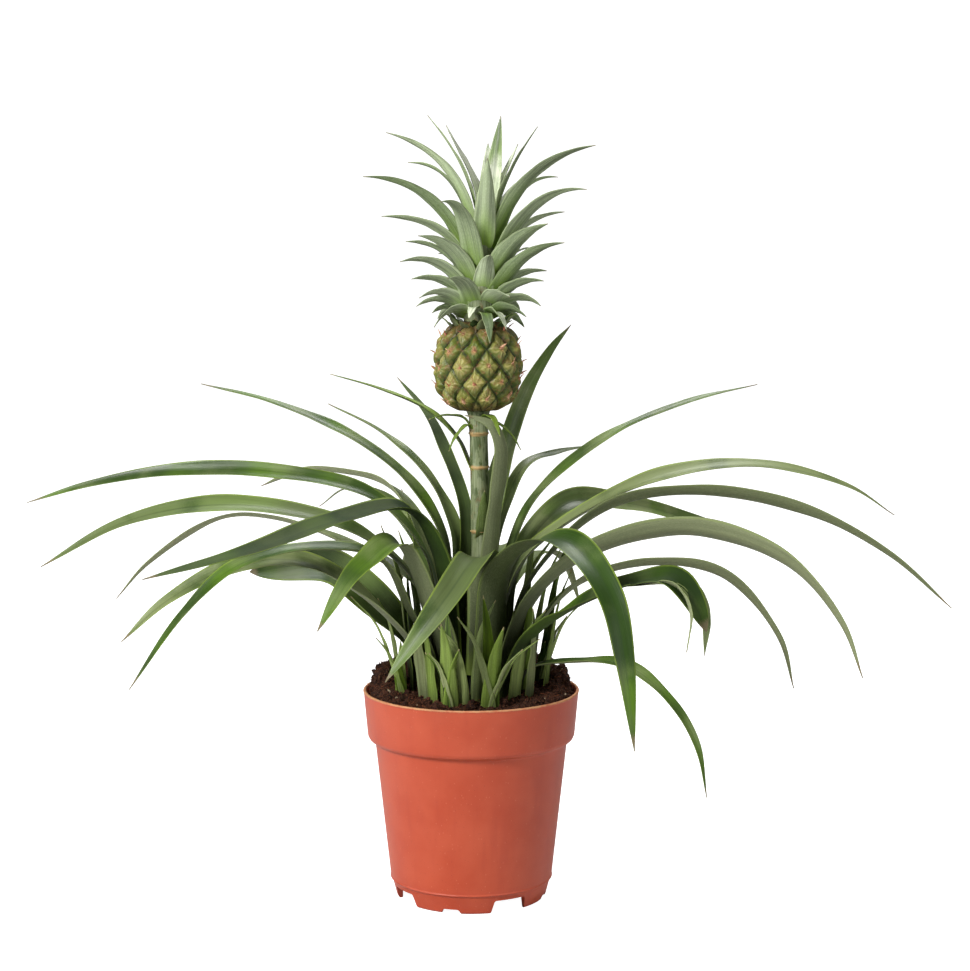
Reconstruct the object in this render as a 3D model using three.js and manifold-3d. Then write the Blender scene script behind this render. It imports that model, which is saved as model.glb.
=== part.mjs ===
// Potted pineapple plant: a plastic grower pot full of peat, a short stump that carries a rosette of
// long channelled leaves, a stalk with a small fruit, and the leafy crown on top of the fruit.
// Millimetres, +Z up. The origin is on the surface the pot stands on, under the middle of the pot.
// +X is to the right and -Y is towards the front.
import * as THREE from "three";
import { mergeVertices } from "three/addons/utils/BufferGeometryUtils.js";
import Module from "manifold-3d";

const wasm = await Module();
wasm.setup();

// ---------------------------------------------------------------- driving dimensions
const GAP = 0.35; // clearance between pieces that touch

const POT = {
  height: 118.5,
  rimRadius: 61,
  bandHeight: 28.5, // the stiff collar under the rim
  bandTaper: 2.6, // how much narrower the collar is at its foot
  bandStep: 4.2, // how far the collar stands out from the wall below it
  baseRadius: 45.6,
  footRadius: 42.5,
  footHeight: 9.6, // the floor is this far off the ground, on a ring of feet
  wall: 1.5,
  sides: 36,
};
const NOTCH = { count: 8, firstAngle: 30, deep: 7.6, shallow: 2.6, deepWidth: 19, shallowWidth: 9 };
const DRAIN = { radius: 3.6, fromAxis: 34 };

const SOIL = {
  edgeLevel: 118,
  mound: 1.5, // how much higher it lies in the middle
  towardsBack: 4.5, // and how much it is heaped up towards the back
  lump: 2.4, // size of its clods
  skirt: 7, // the clods start this far down the wall
  stumpRoom: 3.8, // peat is dug out this far round the stump, for the leaf bases
  rings: 7,
  sides: 36,
};

// The rosette stump is a cone under the leaf bases. Above it the stalk goes on up to the fruit.
const STUMP = { bottom: 64, rootRadius: 9, wideLevel: 101, wideRadius: 27, topLevel: 152, topRadius: 6.4 };
const STALK = { radius: 5.3, top: 276, nodes: [190, 208, 244, 263], bow: 3.1 };
const LEAN = { x: 4, crownX: 13 }; // the stalk leans a little to the right, and the crown more

const FRUIT = {
  bottom: 276,
  top: 325,
  radius: 24.8,
  relief: 2.4,
  spiralsLeft: 9, // furrows that climb to the left, and to the right
  spiralsRight: 10,
  eyeHeight: 18.4,
  sides: 57, // three for each eye, and six rows, so that the eyes come out alike
  rows: 16,
};
const CROWN = {
  bottom: 325.4,
  top: 388,
  coreRadius: 9.5,
  coreSides: 8,
  blade: 1.2,
  fullness: 2, // how far out its leaves keep their width
  roll: 33, // leaves at the sides turn their front edges up
};
const LEAF = {
  thickness: 0.8,
  edge: 0.6,
  stations: 15,
  firstRadius: 9, // the innermost leaf clasps the stump at this radius
  layer: 1.5, // and each further layer this much further out
  seat: 0.9, // a root starts above the stump as if this much nearer to its middle
  wave: 0.5,
  fullness: 3.4, // how far out a leaf keeps its width
};

// ---------------------------------------------------------------- materials
const finish = (color, roughness) =>
  new THREE.MeshStandardMaterial({ color, roughness, metalness: 0 });
const TERRACOTTA_PLASTIC = finish(0xc8603f, 0.45);
const PEAT = finish(0x2b1b14, 0.95);
const STALK_GREEN = finish(0x8a9a6a, 0.6);
const LEAF_GREEN = finish(0x4d6b3a, 0.5);
const CROWN_GREEN = finish(0x7f9670, 0.55);
const SHOOT_GREEN = finish(0x7d9a4a, 0.5);
const FRUIT_GREEN = finish(0x7a8a3e, 0.6);

// ---------------------------------------------------------------- helpers
const radians = THREE.MathUtils.degToRad;
const lerp = THREE.MathUtils.lerp;
const clamp = THREE.MathUtils.clamp;
const smooth = THREE.MathUtils.smoothstep;

// A closed BufferGeometry as a manifold-3d solid, with its shared vertices merged.
function solidOf(geometry) {
  const bare = geometry.clone();
  for (const name of Object.keys(bare.attributes)) {
    if (name !== "position") bare.deleteAttribute(name);
  }
  const merged = mergeVertices(bare, 1e-4);
  const vertProperties = new Float32Array(merged.attributes.position.array);
  const triVerts = new Uint32Array(merged.index.array);
  return new wasm.Manifold(new wasm.Mesh({ numProp: 3, vertProperties, triVerts }));
}

function geometryOf(solid) {
  const mesh = solid.getMesh();
  const geometry = new THREE.BufferGeometry();
  geometry.setAttribute("position", new THREE.BufferAttribute(mesh.vertProperties, 3));
  geometry.setIndex(new THREE.BufferAttribute(mesh.triVerts, 1));
  geometry.computeVertexNormals();
  return geometry;
}

const fuse = (solids) => solids.reduce((all, one) => all.add(one));

// The main body of a solid, without slivers, crumbs cut loose from it or pockets sealed inside it.
const mainBody = (solid) => {
  const bodies = solid.simplify(0.03).decompose();
  return bodies.sort((a, b) => b.volume() - a.volume())[0];
};

// A closed skin over rings of points. The first and the last ring are capped by a fan of triangles
// from their point number hub, which has to see all the others. A thin skin is a blade's: the half
// of each ring that lies on its upper face is split into triangles alike to the lower half, so the
// two faces never cross where the blade waves or twists.
function skin(rings, hub = 0, thin = false) {
  const sides = rings[0].length;
  const positions = rings.flat().flatMap((p) => [p.x, p.y, p.z]);
  const index = [];
  for (let ring = 0; ring + 1 < rings.length; ring++) {
    for (let side = 0; side < sides; side++) {
      const a = ring * sides + side;
      const b = ring * sides + ((side + 1) % sides);
      if (thin && side >= sides / 2) {
        index.push(a, b, a + sides, b, b + sides, a + sides);
      } else {
        index.push(a, b, b + sides, a, b + sides, a + sides);
      }
    }
  }
  const last = (rings.length - 1) * sides;
  for (let side = 1; side + 1 < sides; side++) {
    const a = (hub + side) % sides;
    const b = (hub + side + 1) % sides;
    index.push(hub, b, a);
    index.push(last + hub, last + a, last + b);
  }
  const geometry = new THREE.BufferGeometry();
  geometry.setAttribute("position", new THREE.Float32BufferAttribute(positions, 3));
  geometry.setIndex(index);
  return geometry;
}

// A solid of revolution about Z from [radius, height] pairs that start and end on the axis.
function turned(profile, sides) {
  const points = profile.map(([r, z]) => new THREE.Vector2(r, z));
  return new THREE.LatheGeometry(points, sides).rotateX(Math.PI / 2);
}

const plant = new THREE.Group();
function addNode(name, geometry, material) {
  const mesh = new THREE.Mesh(geometry, material);
  mesh.name = name;
  plant.add(mesh);
}

// The middle line of stalk, fruit and crown: it leans slowly to the right as it rises.
function axisAt(z) {
  const up = clamp((z - STUMP.wideLevel) / (STALK.top - STUMP.wideLevel), 0, 1);
  const over = clamp((z - FRUIT.top) / 110, 0, 1);
  return new THREE.Vector3(LEAN.x * up + (LEAN.crownX - LEAN.x) * over, 0, z);
}

// A ring of points round that line.
function circleAt(z, radius, sides, middle = axisAt(z)) {
  return Array.from({ length: sides }, (_, side) => {
    const angle = (side / sides) * 2 * Math.PI;
    const x = middle.x + radius * Math.cos(angle);
    return new THREE.Vector3(x, middle.y + radius * Math.sin(angle), z);
  });
}

// ---------------------------------------------------------------- pot
function potProfile() {
  const bandFoot = POT.height - POT.bandHeight;
  const bodyTop = POT.rimRadius - POT.bandTaper - POT.bandStep;
  const { rimRadius, bandTaper, footRadius, footHeight, baseRadius, wall, height } = POT;
  return [
    [0, footHeight],
    [footRadius - wall - 0.8, footHeight],
    [footRadius - wall - 1.2, 0],
    [footRadius - 0.8, 0],
    [footRadius, 1],
    [baseRadius - 0.7, footHeight + 0.4],
    [baseRadius, footHeight + 1],
    [baseRadius + 0.1, footHeight + 2],
    [bodyTop, bandFoot - 1.2],
    [bodyTop + 1, bandFoot],
    [rimRadius - bandTaper - 0.9, bandFoot + 1],
    [rimRadius - bandTaper, bandFoot + 2.8],
    [rimRadius - 0.4, height - 1.4],
    [rimRadius, height - 0.6],
    [rimRadius - 0.5, height],
    [rimRadius - wall - 0.2, height],
    [rimRadius - bandTaper - wall, bandFoot + 3.4],
    [bodyTop - wall, bandFoot - 0.6],
    [baseRadius - wall, footHeight + wall + 1.4],
    [baseRadius - wall - 1.2, footHeight + wall],
    [0, footHeight + wall],
  ];
}

// A wedge that cuts one notch into the ring of feet, with its sides sloping as moulded.
function notchCutter(angle, width, depth) {
  const outline = new THREE.Shape();
  outline.moveTo(-width / 2 - 1.5, -1);
  outline.lineTo(width / 2 + 1.5, -1);
  outline.lineTo(width / 2, depth);
  outline.lineTo(-width / 2, depth);
  outline.closePath();
  const reach = 10;
  const wedge = new THREE.ExtrudeGeometry(outline, { depth: reach, bevelEnabled: false });
  wedge.rotateX(Math.PI / 2).translate(0, -POT.footRadius + reach / 2 + 1.5, 0);
  return solidOf(wedge.rotateZ(radians(angle)));
}

function makePot() {
  let pot = solidOf(turned(potProfile(), POT.sides));
  for (let i = 0; i < NOTCH.count; i++) {
    const deep = i % 2 === 0;
    const angle = NOTCH.firstAngle + (i * 360) / NOTCH.count;
    const width = deep ? NOTCH.deepWidth : NOTCH.shallowWidth;
    pot = pot.subtract(notchCutter(angle, width, deep ? NOTCH.deep : NOTCH.shallow));
    if (!deep) continue;
    const drain = new THREE.CylinderGeometry(DRAIN.radius, DRAIN.radius, 6, 12).rotateX(Math.PI / 2);
    drain.translate(0, -DRAIN.fromAxis, POT.footHeight + 0.5).rotateZ(radians(angle));
    pot = pot.subtract(solidOf(drain));
  }
  addNode("pot", geometryOf(pot), TERRACOTTA_PLASTIC);
}

// ---------------------------------------------------------------- soil
// Young shoots come up through plain holes in the peat round the stump: where each one stands, and
// its blades as [facing, reach, rise, width].
const SHOOTS = {
  shoot_front_left: {
    x: -12,
    y: -37,
    blades: [
      [310, 8, 31, 8],
      [215, 12, 29, 7],
      [250, 11, 46, 11],
      [185, 12, 28, 6],
      [100, 5, 50, 8],
    ],
  },
  shoot_front_right: {
    x: 11,
    y: -40,
    blades: [
      [300, 13, 47, 12],
      [335, 18, 34, 7],
      [218, 22, 53, 8],
      [245, 9, 64, 10],
      [5, 26, 38, 7],
    ],
  },
  shoot_left: {
    x: -39,
    y: -14,
    blades: [[205, 14, 33, 8], [190, 27, 56, 7], [95, 3, 30, 7], [250, 9, 24, 8]],
  },
  shoot_right: {
    x: 40,
    y: 6,
    blades: [[330, 15, 40, 8], [345, 25, 50, 7], [45, 24, 84, 7], [280, 9, 26, 9]],
  },
  shoot_back: {
    x: 4,
    y: 39,
    blades: [[60, 14, 32, 8], [120, 16, 38, 9], [10, 10, 24, 8], [176, 12, 28, 8]],
  },
};
const SHOOT = { bottom: 86, rootRadius: 4.2, coreRadius: 3.2, hole: 5, blade: 1.3 };

// How high the peat lies at a place: a low mound with rounded clods.
function soilLevel(x, y) {
  const fromAxis = Math.hypot(x, y) / POT.rimRadius;
  const clods =
    Math.sin(x * 0.37 + 1.2) * Math.cos(y * 0.33 - 0.4) * 0.6 +
    Math.sin(x * 0.81 - y * 0.62 + 2.1) * 0.4;
  const heap = SOIL.mound * (1 - fromAxis * fromAxis) + (SOIL.towardsBack * y) / POT.rimRadius;
  return SOIL.edgeLevel + heap + SOIL.lump * clods;
}

function makeSoil() {
  const bandFoot = POT.height - POT.bandHeight;
  const inner = POT.wall + GAP;
  const bodyTop = POT.rimRadius - POT.bandTaper - POT.bandStep;
  const innerRim = POT.rimRadius - inner - 0.2;
  const wallAt = (z) =>
    z > bandFoot + 3.4
      ? lerp(innerRim - POT.bandTaper, innerRim, (z - bandFoot - 3.4) / (POT.bandHeight - 3.4))
      : bodyTop - inner;
  const ringAt = (radius, level) =>
    Array.from({ length: SOIL.sides }, (_, side) => {
      const angle = (side / SOIL.sides) * 2 * Math.PI;
      const x = radius * Math.cos(angle);
      const y = radius * Math.sin(angle);
      return new THREE.Vector3(x, y, level ?? soilLevel(x, y));
    });
  const topRadius = wallAt(SOIL.edgeLevel - SOIL.skirt);
  const floor = POT.footHeight + POT.wall + GAP;
  const rings = [
    ringAt(POT.baseRadius - inner - 1.6, floor),
    ringAt(POT.baseRadius - inner, floor + 1.6),
    ringAt(bodyTop - inner - 0.1, bandFoot - 0.8),
    ringAt(wallAt(bandFoot + 4), bandFoot + 3.6),
    ringAt(topRadius, SOIL.edgeLevel - SOIL.skirt),
  ];
  for (let ring = SOIL.rings; ring > 0; ring--) {
    rings.push(ringAt((topRadius * (ring + 0.6)) / (SOIL.rings + 0.9)));
  }
  let soil = solidOf(skin(rings));
  const hole = (x, y, radius, bottom) => {
    const height = 60;
    const plug = new THREE.CylinderGeometry(radius, radius, height, 24).rotateX(Math.PI / 2);
    return solidOf(plug.translate(x, y, bottom + height / 2));
  };
  const stumpHole = STUMP.wideRadius + SOIL.stumpRoom;
  soil = soil.subtract(hole(0, 0, stumpHole, STUMP.bottom - GAP));
  for (const { x, y } of Object.values(SHOOTS)) {
    soil = soil.subtract(hole(x, y, SHOOT.hole, SHOOT.bottom - GAP));
  }
  addNode("soil", geometryOf(mainBody(soil)), PEAT);
}

// ---------------------------------------------------------------- blades
// A blade is swept along a path from root to tip. Its section is a thin channel, open towards the
// plant's middle. side(s) is the way across it, and clasp the radius its root is wrapped round.
// roll turns it about its own length all the way, and twist only from its middle on.
function blade(curve, shape) {
  const { width, side, stations, clasp = 1e3, base = 1.1, fullness = 2.6 } = shape;
  const { roll = 0, twist = 0, ridge = 0 } = shape;
  const rings = [];
  for (let i = 0; i < stations; i++) {
    const s = i / (stations - 1);
    const centre = curve.getPointAt(s);
    const along = curve.getTangentAt(s);
    const across = side(s).clone().addScaledVector(along, -side(s).dot(along)).normalize();
    across.applyAxisAngle(along, radians(roll + twist * smooth(s, 0.2, 0.6)));
    const up = along.clone().cross(across);
    const half = (bladeWidth(s, base, fullness) * width) / 2;
    const wrapped = clasp - Math.sqrt(Math.max(clasp * clasp - half * half, 0));
    const trough = lerp(wrapped, half * lerp(0.5, 0.2, s), smooth(s, 0.1, 0.4));
    const at = (u, n) => centre.clone().addScaledVector(across, u).addScaledVector(up, n);
    if (ridge) {
      // a small blade has sharp edges, and is thickest along its middle
      const thick = ridge * lerp(1, 0.6, s);
      rings.push([at(-half, trough), at(0, -thick / 2), at(half, trough), at(0, thick / 2)]);
      continue;
    }
    const ripple = LEAF.wave * Math.sin(s * 21) * Math.sin(Math.PI * s);
    const thick = lerp(LEAF.thickness, LEAF.edge, s);
    rings.push([
      at(-half, trough + LEAF.edge / 2 + ripple),
      at(-half, trough - LEAF.edge / 2 + ripple),
      at(0, -thick / 2),
      at(half, trough - LEAF.edge / 2 - ripple),
      at(half, trough + LEAF.edge / 2 - ripple),
      at(0, thick / 2),
    ]);
  }
  return skin(rings, ridge ? 1 : 2, true);
}

// Width along a blade: broad where it clasps the stump, full to past the middle, then a long point.
function bladeWidth(s, base, fullness) {
  const clasping = 1 + (base - 1) * Math.exp(-s / 0.08);
  return Math.max(clasping * Math.pow(1 - Math.pow(s, fullness), 0.9), 0.07);
}

const arched = (path) => new THREE.CatmullRomCurve3(path, false, "centripetal");

// ---------------------------------------------------------------- leaves
// One line a leaf, from the innermost to the outermost: the way it faces (degrees from +X towards
// +Y), its width, and its arch as [reach from the stalk, height above the rim], from where it
// leaves the bunch out to its tip. sweep turns it sideways along its length, the more suddenly
// the larger late is, and twist rolls it.
const LEAVES = [
  {
    facing: 322,
    width: 15,
    arch: [[13, 76], [15, 98], [18, 123], [20, 139], [19, 151], [18, 156]],
    sweep: -75,
    late: 6,
  },
  { facing: 50, width: 13, arch: [[18, 118], [38, 161], [64, 188], [84, 202]], twist: 67 },
  { facing: 125, width: 9, arch: [[11, 100], [37, 138], [50, 151], [83, 171]], twist: -10 },
  { facing: 145, width: 12, arch: [[15, 88], [35, 119], [67, 141], [107, 156]], twist: 8 },
  { facing: 45, width: 9, arch: [[19, 92], [38, 123], [64, 129], [95, 131]], twist: 19 },
  {
    facing: 22,
    width: 10,
    arch: [[23, 80], [36, 106], [77, 138], [130, 158], [176, 167]],
    twist: 14,
  },
  {
    facing: 165,
    width: 12,
    arch: [[19, 83], [38, 114], [73, 140], [121, 159], [165, 169]],
    twist: -15,
  },
  {
    facing: 212,
    width: 19,
    arch: [[26, 78], [45, 104], [83, 102], [144, 88], [201, 79]],
    twist: -18,
  },
  {
    facing: 8,
    width: 17,
    arch: [[27, 71], [51, 92], [102, 117], [160, 124], [215, 111], [243, 94]],
    twist: 19,
  },
  { facing: 295, width: 20, arch: [[20, 60], [25, 75], [34, 79], [68, 64], [97, 21]], sweep: -53 },
  {
    facing: 172,
    width: 12,
    arch: [[29, 77], [60, 108], [118, 121], [174, 121], [225, 112], [261, 101]],
    twist: -52,
  },
  {
    facing: 304,
    width: 20,
    arch: [[25, 67], [67, 92], [95, 91], [126, 69], [139, 39], [150, -7]],
    twist: 20,
  },
  {
    facing: 348,
    width: 15,
    arch: [[34, 65], [75, 104], [126, 114], [184, 105], [229, 83], [263, 55]],
    twist: -38,
  },
  {
    facing: 186,
    width: 16,
    arch: [[34, 62], [63, 87], [93, 99], [142, 106], [195, 97], [240, 73]],
    twist: -36,
  },
  {
    facing: 140,
    width: 16,
    arch: [[33, 71], [62, 107], [107, 115], [141, 112], [171, 102]],
    twist: 24,
  },
  { facing: 222, width: 22, arch: [[36, 52], [58, 88], [77, 80], [89, 72], [111, 46]], twist: -15 },
  {
    facing: 34,
    width: 17,
    arch: [[27, 64], [62, 100], [103, 98], [151, 86], [196, 74]],
    twist: 45,
  },
  {
    facing: 334,
    width: 23,
    arch: [[36, 50], [57, 72], [96, 91], [135, 97], [182, 84], [213, 54], [226, 26]],
    twist: -42,
  },
  { facing: 130, width: 13, arch: [[36, 62], [68, 92], [118, 103], [149, 89]], twist: -20 },
  {
    facing: 200,
    width: 14,
    arch: [[40, 48], [56, 76], [91, 84], [136, 77], [166, 52], [195, 13]],
    twist: -18,
  },
  { facing: 112, width: 13, arch: [[35, 50], [60, 70], [97, 67], [126, 38]] },
  { facing: 79, width: 14, arch: [[30, 52], [60, 70], [96, 64], [121, 26]] },
  {
    facing: 358,
    width: 15,
    arch: [[40, 40], [60, 60], [99, 71], [139, 65], [171, 31], [181, 1]],
    twist: -31,
  },
  {
    facing: 155,
    width: 13,
    arch: [[32, 52], [82, 77], [131, 89], [166, 87], [217, 57], [240, 34]],
    twist: 13,
  },
  { facing: 60, width: 13, arch: [[32, 44], [70, 66], [105, 60], [130, 29]] },
  {
    facing: 192,
    width: 18,
    arch: [[45, 37], [92, 73], [129, 75], [171, 56], [196, 34]],
    twist: -34,
  },
  {
    facing: 322,
    width: 19,
    arch: [[41, 32], [66, 51], [106, 70], [129, 73], [149, 44], [148, 33]],
    twist: 18,
    sweep: 6,
  },
  { facing: 168, width: 21, arch: [[43, 30], [70, 60], [86, 68], [132, 62]], twist: -84 },
  { facing: 96, width: 13, arch: [[34, 36], [66, 47], [95, 37], [119, 8]] },
  {
    facing: 335,
    width: 10,
    arch: [[34, 13], [63, 20], [94, 20], [121, 1], [135, -20], [141, -48]],
    twist: 21,
  },
];

// How far apart two ways of facing are, in degrees.
const between = (a, b) => Math.abs(((a - b + 540) % 360) - 180);

// Each leaf clasps the stump outside the leaves that it would otherwise cross: its root radius.
function rootRadii() {
  const radii = [];
  LEAVES.forEach((leaf, k) => {
    let radius = LEAF.firstRadius;
    const crosses = (inner, j) => {
      const reach = (leaf.width + inner.width) * 0.55 + 3;
      const angle = (reach / (radius + radii[j])) * 2 * (180 / Math.PI);
      return between(leaf.facing, inner.facing) < angle && radius < radii[j] + LEAF.layer;
    };
    while (LEAVES.slice(0, k).some(crosses)) radius += 0.25;
    radii.push(radius);
  });
  return radii;
}

// The stump's surface at a radius: where a leaf that clasps it there is rooted.
function stumpLevel(radius) {
  const share = (STUMP.wideRadius - radius) / (STUMP.wideRadius - STUMP.topRadius);
  return lerp(STUMP.wideLevel, STUMP.topLevel, clamp(share, 0, 1));
}

function leafPath({ facing, width, arch, sweep = 0, late = 2 }, rootRadius) {
  // a wide leaf's root is a folded strip, which cuts a little inside the circle that it clasps
  const fold = rootRadius * (1 - Math.cos(Math.asin((width * 0.55) / rootRadius) / 2));
  const rootLevel = stumpLevel(rootRadius - LEAF.seat - fold);
  const [neckReach, neckRise] = arch[0];
  const profile = [
    [rootRadius, rootLevel],
    [lerp(rootRadius, neckReach, 0.2), lerp(rootLevel, POT.height + neckRise, 0.5)],
    ...arch.map(([reach, rise]) => [reach, POT.height + rise]),
  ];
  return profile.map(([reach, level], i) => {
    const angle = radians(facing + sweep * (i / (profile.length - 1)) ** late);
    const middle = axisAt(level);
    return new THREE.Vector3(
      middle.x + reach * Math.cos(angle),
      middle.y + reach * Math.sin(angle),
      level,
    );
  });
}

function makeLeaves() {
  const radii = rootRadii();
  LEAVES.forEach((leaf, k) => {
    const { facing, width, sweep = 0, twist = 0, late = 2 } = leaf;
    const side = (s) => {
      const angle = radians(facing + sweep * s ** late);
      return new THREE.Vector3(-Math.sin(angle), Math.cos(angle), 0);
    };
    const { stations, fullness } = LEAF;
    const shape = { width, twist, side, stations, fullness, clasp: radii[k] };
    const name = "leaf_" + String(k + 1).padStart(2, "0");
    addNode(name, blade(arched(leafPath(leaf, radii[k])), shape), LEAF_GREEN);
  });
}

// ---------------------------------------------------------------- stump and stalk
// Small leaves that grow on the stalk close under the fruit: [facing, width, level, arch], with
// the arch as [reach from the stalk's middle, height above where it grows].
const BRACTS = [
  { facing: 170, width: 9, level: 244, arch: [[11, 14], [29, 31], [57, 43], [85, 51]] },
  { facing: 285, width: 8, level: 206, arch: [[7, 9], [8, 18], [9, 26]] },
  { facing: 190, width: 5, level: 267, arch: [[9, 5], [22, 6], [28, 4]] },
  { facing: 215, width: 4, level: 265, arch: [[7, 3], [16, -4], [20, -11]] },
  { facing: 350, width: 5, level: 266, arch: [[9, 3], [18, -3], [24, -12]] },
  { facing: 300, width: 5, level: 269, arch: [[8, 4], [17, 3], [24, -6]] },
  { facing: 75, width: 5, level: 266, arch: [[9, 5], [20, 5], [27, -2]] },
];

// The middle of the stalk, which bows a little to the right of the line that it grows along.
function stalkAt(z) {
  const middle = axisAt(z);
  middle.x += STALK.bow * smooth(z, 145, 195) * clamp((STALK.top - z) / 76, 0, 1);
  return middle;
}

function stalkBlade({ facing, width, level, arch }) {
  const angle = radians(facing);
  const middle = stalkAt(level);
  const path = [[2, -2], [STALK.radius - 1, 0], ...arch].map(([reach, rise]) => {
    const x = middle.x + reach * Math.cos(angle);
    return new THREE.Vector3(x, middle.y + reach * Math.sin(angle), level + rise);
  });
  const across = new THREE.Vector3(-Math.sin(angle), Math.cos(angle), 0);
  return blade(arched(path), { width, side: () => across, stations: 6, base: 1, ridge: 1.1 });
}

function makeStem() {
  const levels = [
    [STUMP.bottom, STUMP.rootRadius],
    [lerp(STUMP.bottom, STUMP.wideLevel, 0.7), STUMP.wideRadius * 0.8],
    [STUMP.wideLevel, STUMP.wideRadius],
    [STUMP.topLevel, STUMP.topRadius],
    [STUMP.topLevel + 18, STALK.radius],
  ];
  for (const node of STALK.nodes) {
    levels.push([node - 2.5, STALK.radius - 0.2], [node, STALK.radius + 0.5]);
    levels.push([node + 2.5, STALK.radius]);
  }
  levels.push([STALK.top - 4, STALK.radius], [STALK.top - GAP, STALK.radius + 1.5]);
  const rings = levels.map(([z, radius]) => circleAt(z, radius, 12, stalkAt(z)));
  const bracts = BRACTS.map((bract) => solidOf(stalkBlade(bract)));
  const stem = fuse([solidOf(skin(rings)), ...bracts]);
  addNode("stem", geometryOf(mainBody(stem)), STALK_GREEN);
}

// ---------------------------------------------------------------- fruit
// A barrel whose surface is raised in eyes: two families of spiral furrows cross each other.
function makeFruit() {
  const { sides, rows } = FRUIT;
  const { bottom, top, radius, relief, spiralsLeft, spiralsRight } = FRUIT;
  const rings = [];
  for (let row = 0; row <= rows; row++) {
    const share = 0.03 + (0.94 * row) / rows;
    const level = lerp(bottom, top, row / rows);
    const barrel = radius * Math.pow(1 - Math.pow(Math.abs(2 * share - 1), 2.8), 1 / 2.4);
    const middle = axisAt(level);
    const climb = (Math.PI * (level - bottom)) / FRUIT.eyeHeight;
    rings.push(
      Array.from({ length: sides }, (_, side) => {
        const angle = (side / sides) * 2 * Math.PI;
        const left = Math.abs(Math.sin((spiralsLeft * angle) / 2 + climb));
        const right = Math.abs(Math.sin((spiralsRight * angle) / 2 - climb));
        const eye = relief * Math.sqrt(Math.min(left, right)) * Math.min(1, barrel / 12);
        const r = Math.max(barrel - relief + eye, 1.5);
        return new THREE.Vector3(
          middle.x + r * Math.cos(angle),
          middle.y + r * Math.sin(angle),
          level,
        );
      }),
    );
  }
  addNode("fruit", geometryOf(solidOf(skin(rings))), FRUIT_GREEN);
}

// ---------------------------------------------------------------- crown
// Its leaves come off a short core: short and curled down at its foot, longest in the middle, and
// upright at the top. One line a leaf: the way it faces, its width, the level of its root, how far
// out its tip is and at what level, and the slope of the tip in degrees.
const CROWN_LEAVES = [
  [284, 8, 328, 27, 314.4, -75],
  [310, 10, 329, 24, 321.5, -60],
  [214, 13, 328, 29, 322.6, -60],
  [8, 10, 327.5, 26, 321.7, -50],
  [85, 7, 327.5, 27, 324, -55],
  [145, 10, 328, 28, 326, -50],
  [255, 7, 331, 20, 327.5, -50],
  [340, 12, 328.5, 28, 328, -35],
  [165, 9, 328, 27, 329.5, -40],
  [40, 12, 329, 30, 331, -40],
  [120, 10, 329, 30, 333, -35],
  [184, 10, 329, 35, 333.5, -35],
  [356, 12, 330, 34, 333.7, -40],
  [70, 8, 330, 32, 338, -30],
  [202, 12, 331, 36, 338.5, -30],
  [305, 13, 334, 28, 339.4, -20],
  [178, 12, 334, 39, 348.5, -10],
  [350, 12, 333, 35, 347.6, -8],
  [100, 9, 333, 36, 350, -15],
  [238, 13, 334, 35, 349.5, -5],
  [5, 12, 336, 36, 353, -5],
  [194, 12, 338, 47, 358.2, -15],
  [130, 11, 338, 40, 362, -5],
  [50, 11, 338, 42, 365, -5],
  [338, 13, 338, 47, 368.7, 5],
  [280, 13, 342, 20, 362, 10],
  [160, 12, 342, 47, 369, 0],
  [212, 14, 344, 43, 372.5, 5],
  [80, 10, 343, 44, 378, 0],
  [325, 16, 346, 41, 379, 15],
  [172, 12, 350, 59, 383, 0],
  [16, 12, 352, 45, 385.5, 5],
  [232, 14, 350, 42, 390.5, -10],
  [110, 11, 350, 45, 392, 5],
  [346, 13, 352, 55, 397.5, -5],
  [186, 13, 352, 70, 404.5, 0],
  [60, 13, 360, 40, 405, 20],
  [14, 10, 364, 39, 404.6, -5],
  [150, 12, 362, 54, 413, 0],
  [262, 14, 366, 15, 414.5, 75],
  [352, 13, 366, 57, 421.5, 10],
  [172, 13, 366, 60, 429, 15],
  [95, 12, 370, 30, 424, 45],
  [45, 13, 378, 20, 423, 65],
  [150, 10, 372, 43, 439, 45],
  [130, 10, 376, 42, 434, 50],
  [30, 12, 374, 28, 432.5, 55],
  [75, 13, 376, 14, 438.5, 80],
];

function crownLeaf([facing, width, rootLevel, reach, tipLevel, tipSlope]) {
  const angle = radians(facing);
  const at = (out, level) => {
    const middle = axisAt(level);
    return new THREE.Vector3(
      middle.x + out * Math.cos(angle),
      middle.y + out * Math.sin(angle),
      level,
    );
  };
  const share = (rootLevel - CROWN.bottom) / (CROWN.top - CROWN.bottom);
  const rootReach = CROWN.coreRadius * lerp(0.7, 0.2, share);
  const rootSlope = radians(lerp(35, 84, Math.pow(share, 0.6)));
  const handle = 0.4 * Math.hypot(reach - rootReach, tipLevel - rootLevel);
  const tip = radians(tipSlope);
  const curve = new THREE.CubicBezierCurve3(
    at(rootReach, rootLevel),
    at(rootReach + handle * Math.cos(rootSlope), rootLevel + handle * Math.sin(rootSlope)),
    at(reach - handle * Math.cos(tip), tipLevel - handle * Math.sin(tip)),
    at(reach, tipLevel),
  );
  const across = new THREE.Vector3(-Math.sin(angle), Math.cos(angle), 0);
  const roll = -CROWN.roll * Math.cos(angle);
  const { blade: ridge, fullness } = CROWN;
  return blade(curve, { width, side: () => across, stations: 6, base: 0.6, roll, fullness, ridge });
}

function makeCrown() {
  const rings = [
    [CROWN.bottom, CROWN.coreRadius - 1.5],
    [CROWN.bottom + 6, CROWN.coreRadius],
    [lerp(CROWN.bottom, CROWN.top, 0.5), CROWN.coreRadius * 0.62],
    [CROWN.top, 1.6],
  ].map(([z, radius]) => circleAt(z, radius, CROWN.coreSides));
  const leaves = CROWN_LEAVES.map((leaf) => solidOf(crownLeaf(leaf)));
  const crown = fuse([solidOf(skin(rings)), ...leaves]);
  addNode("crown", geometryOf(mainBody(crown)), CROWN_GREEN);
}

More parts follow.
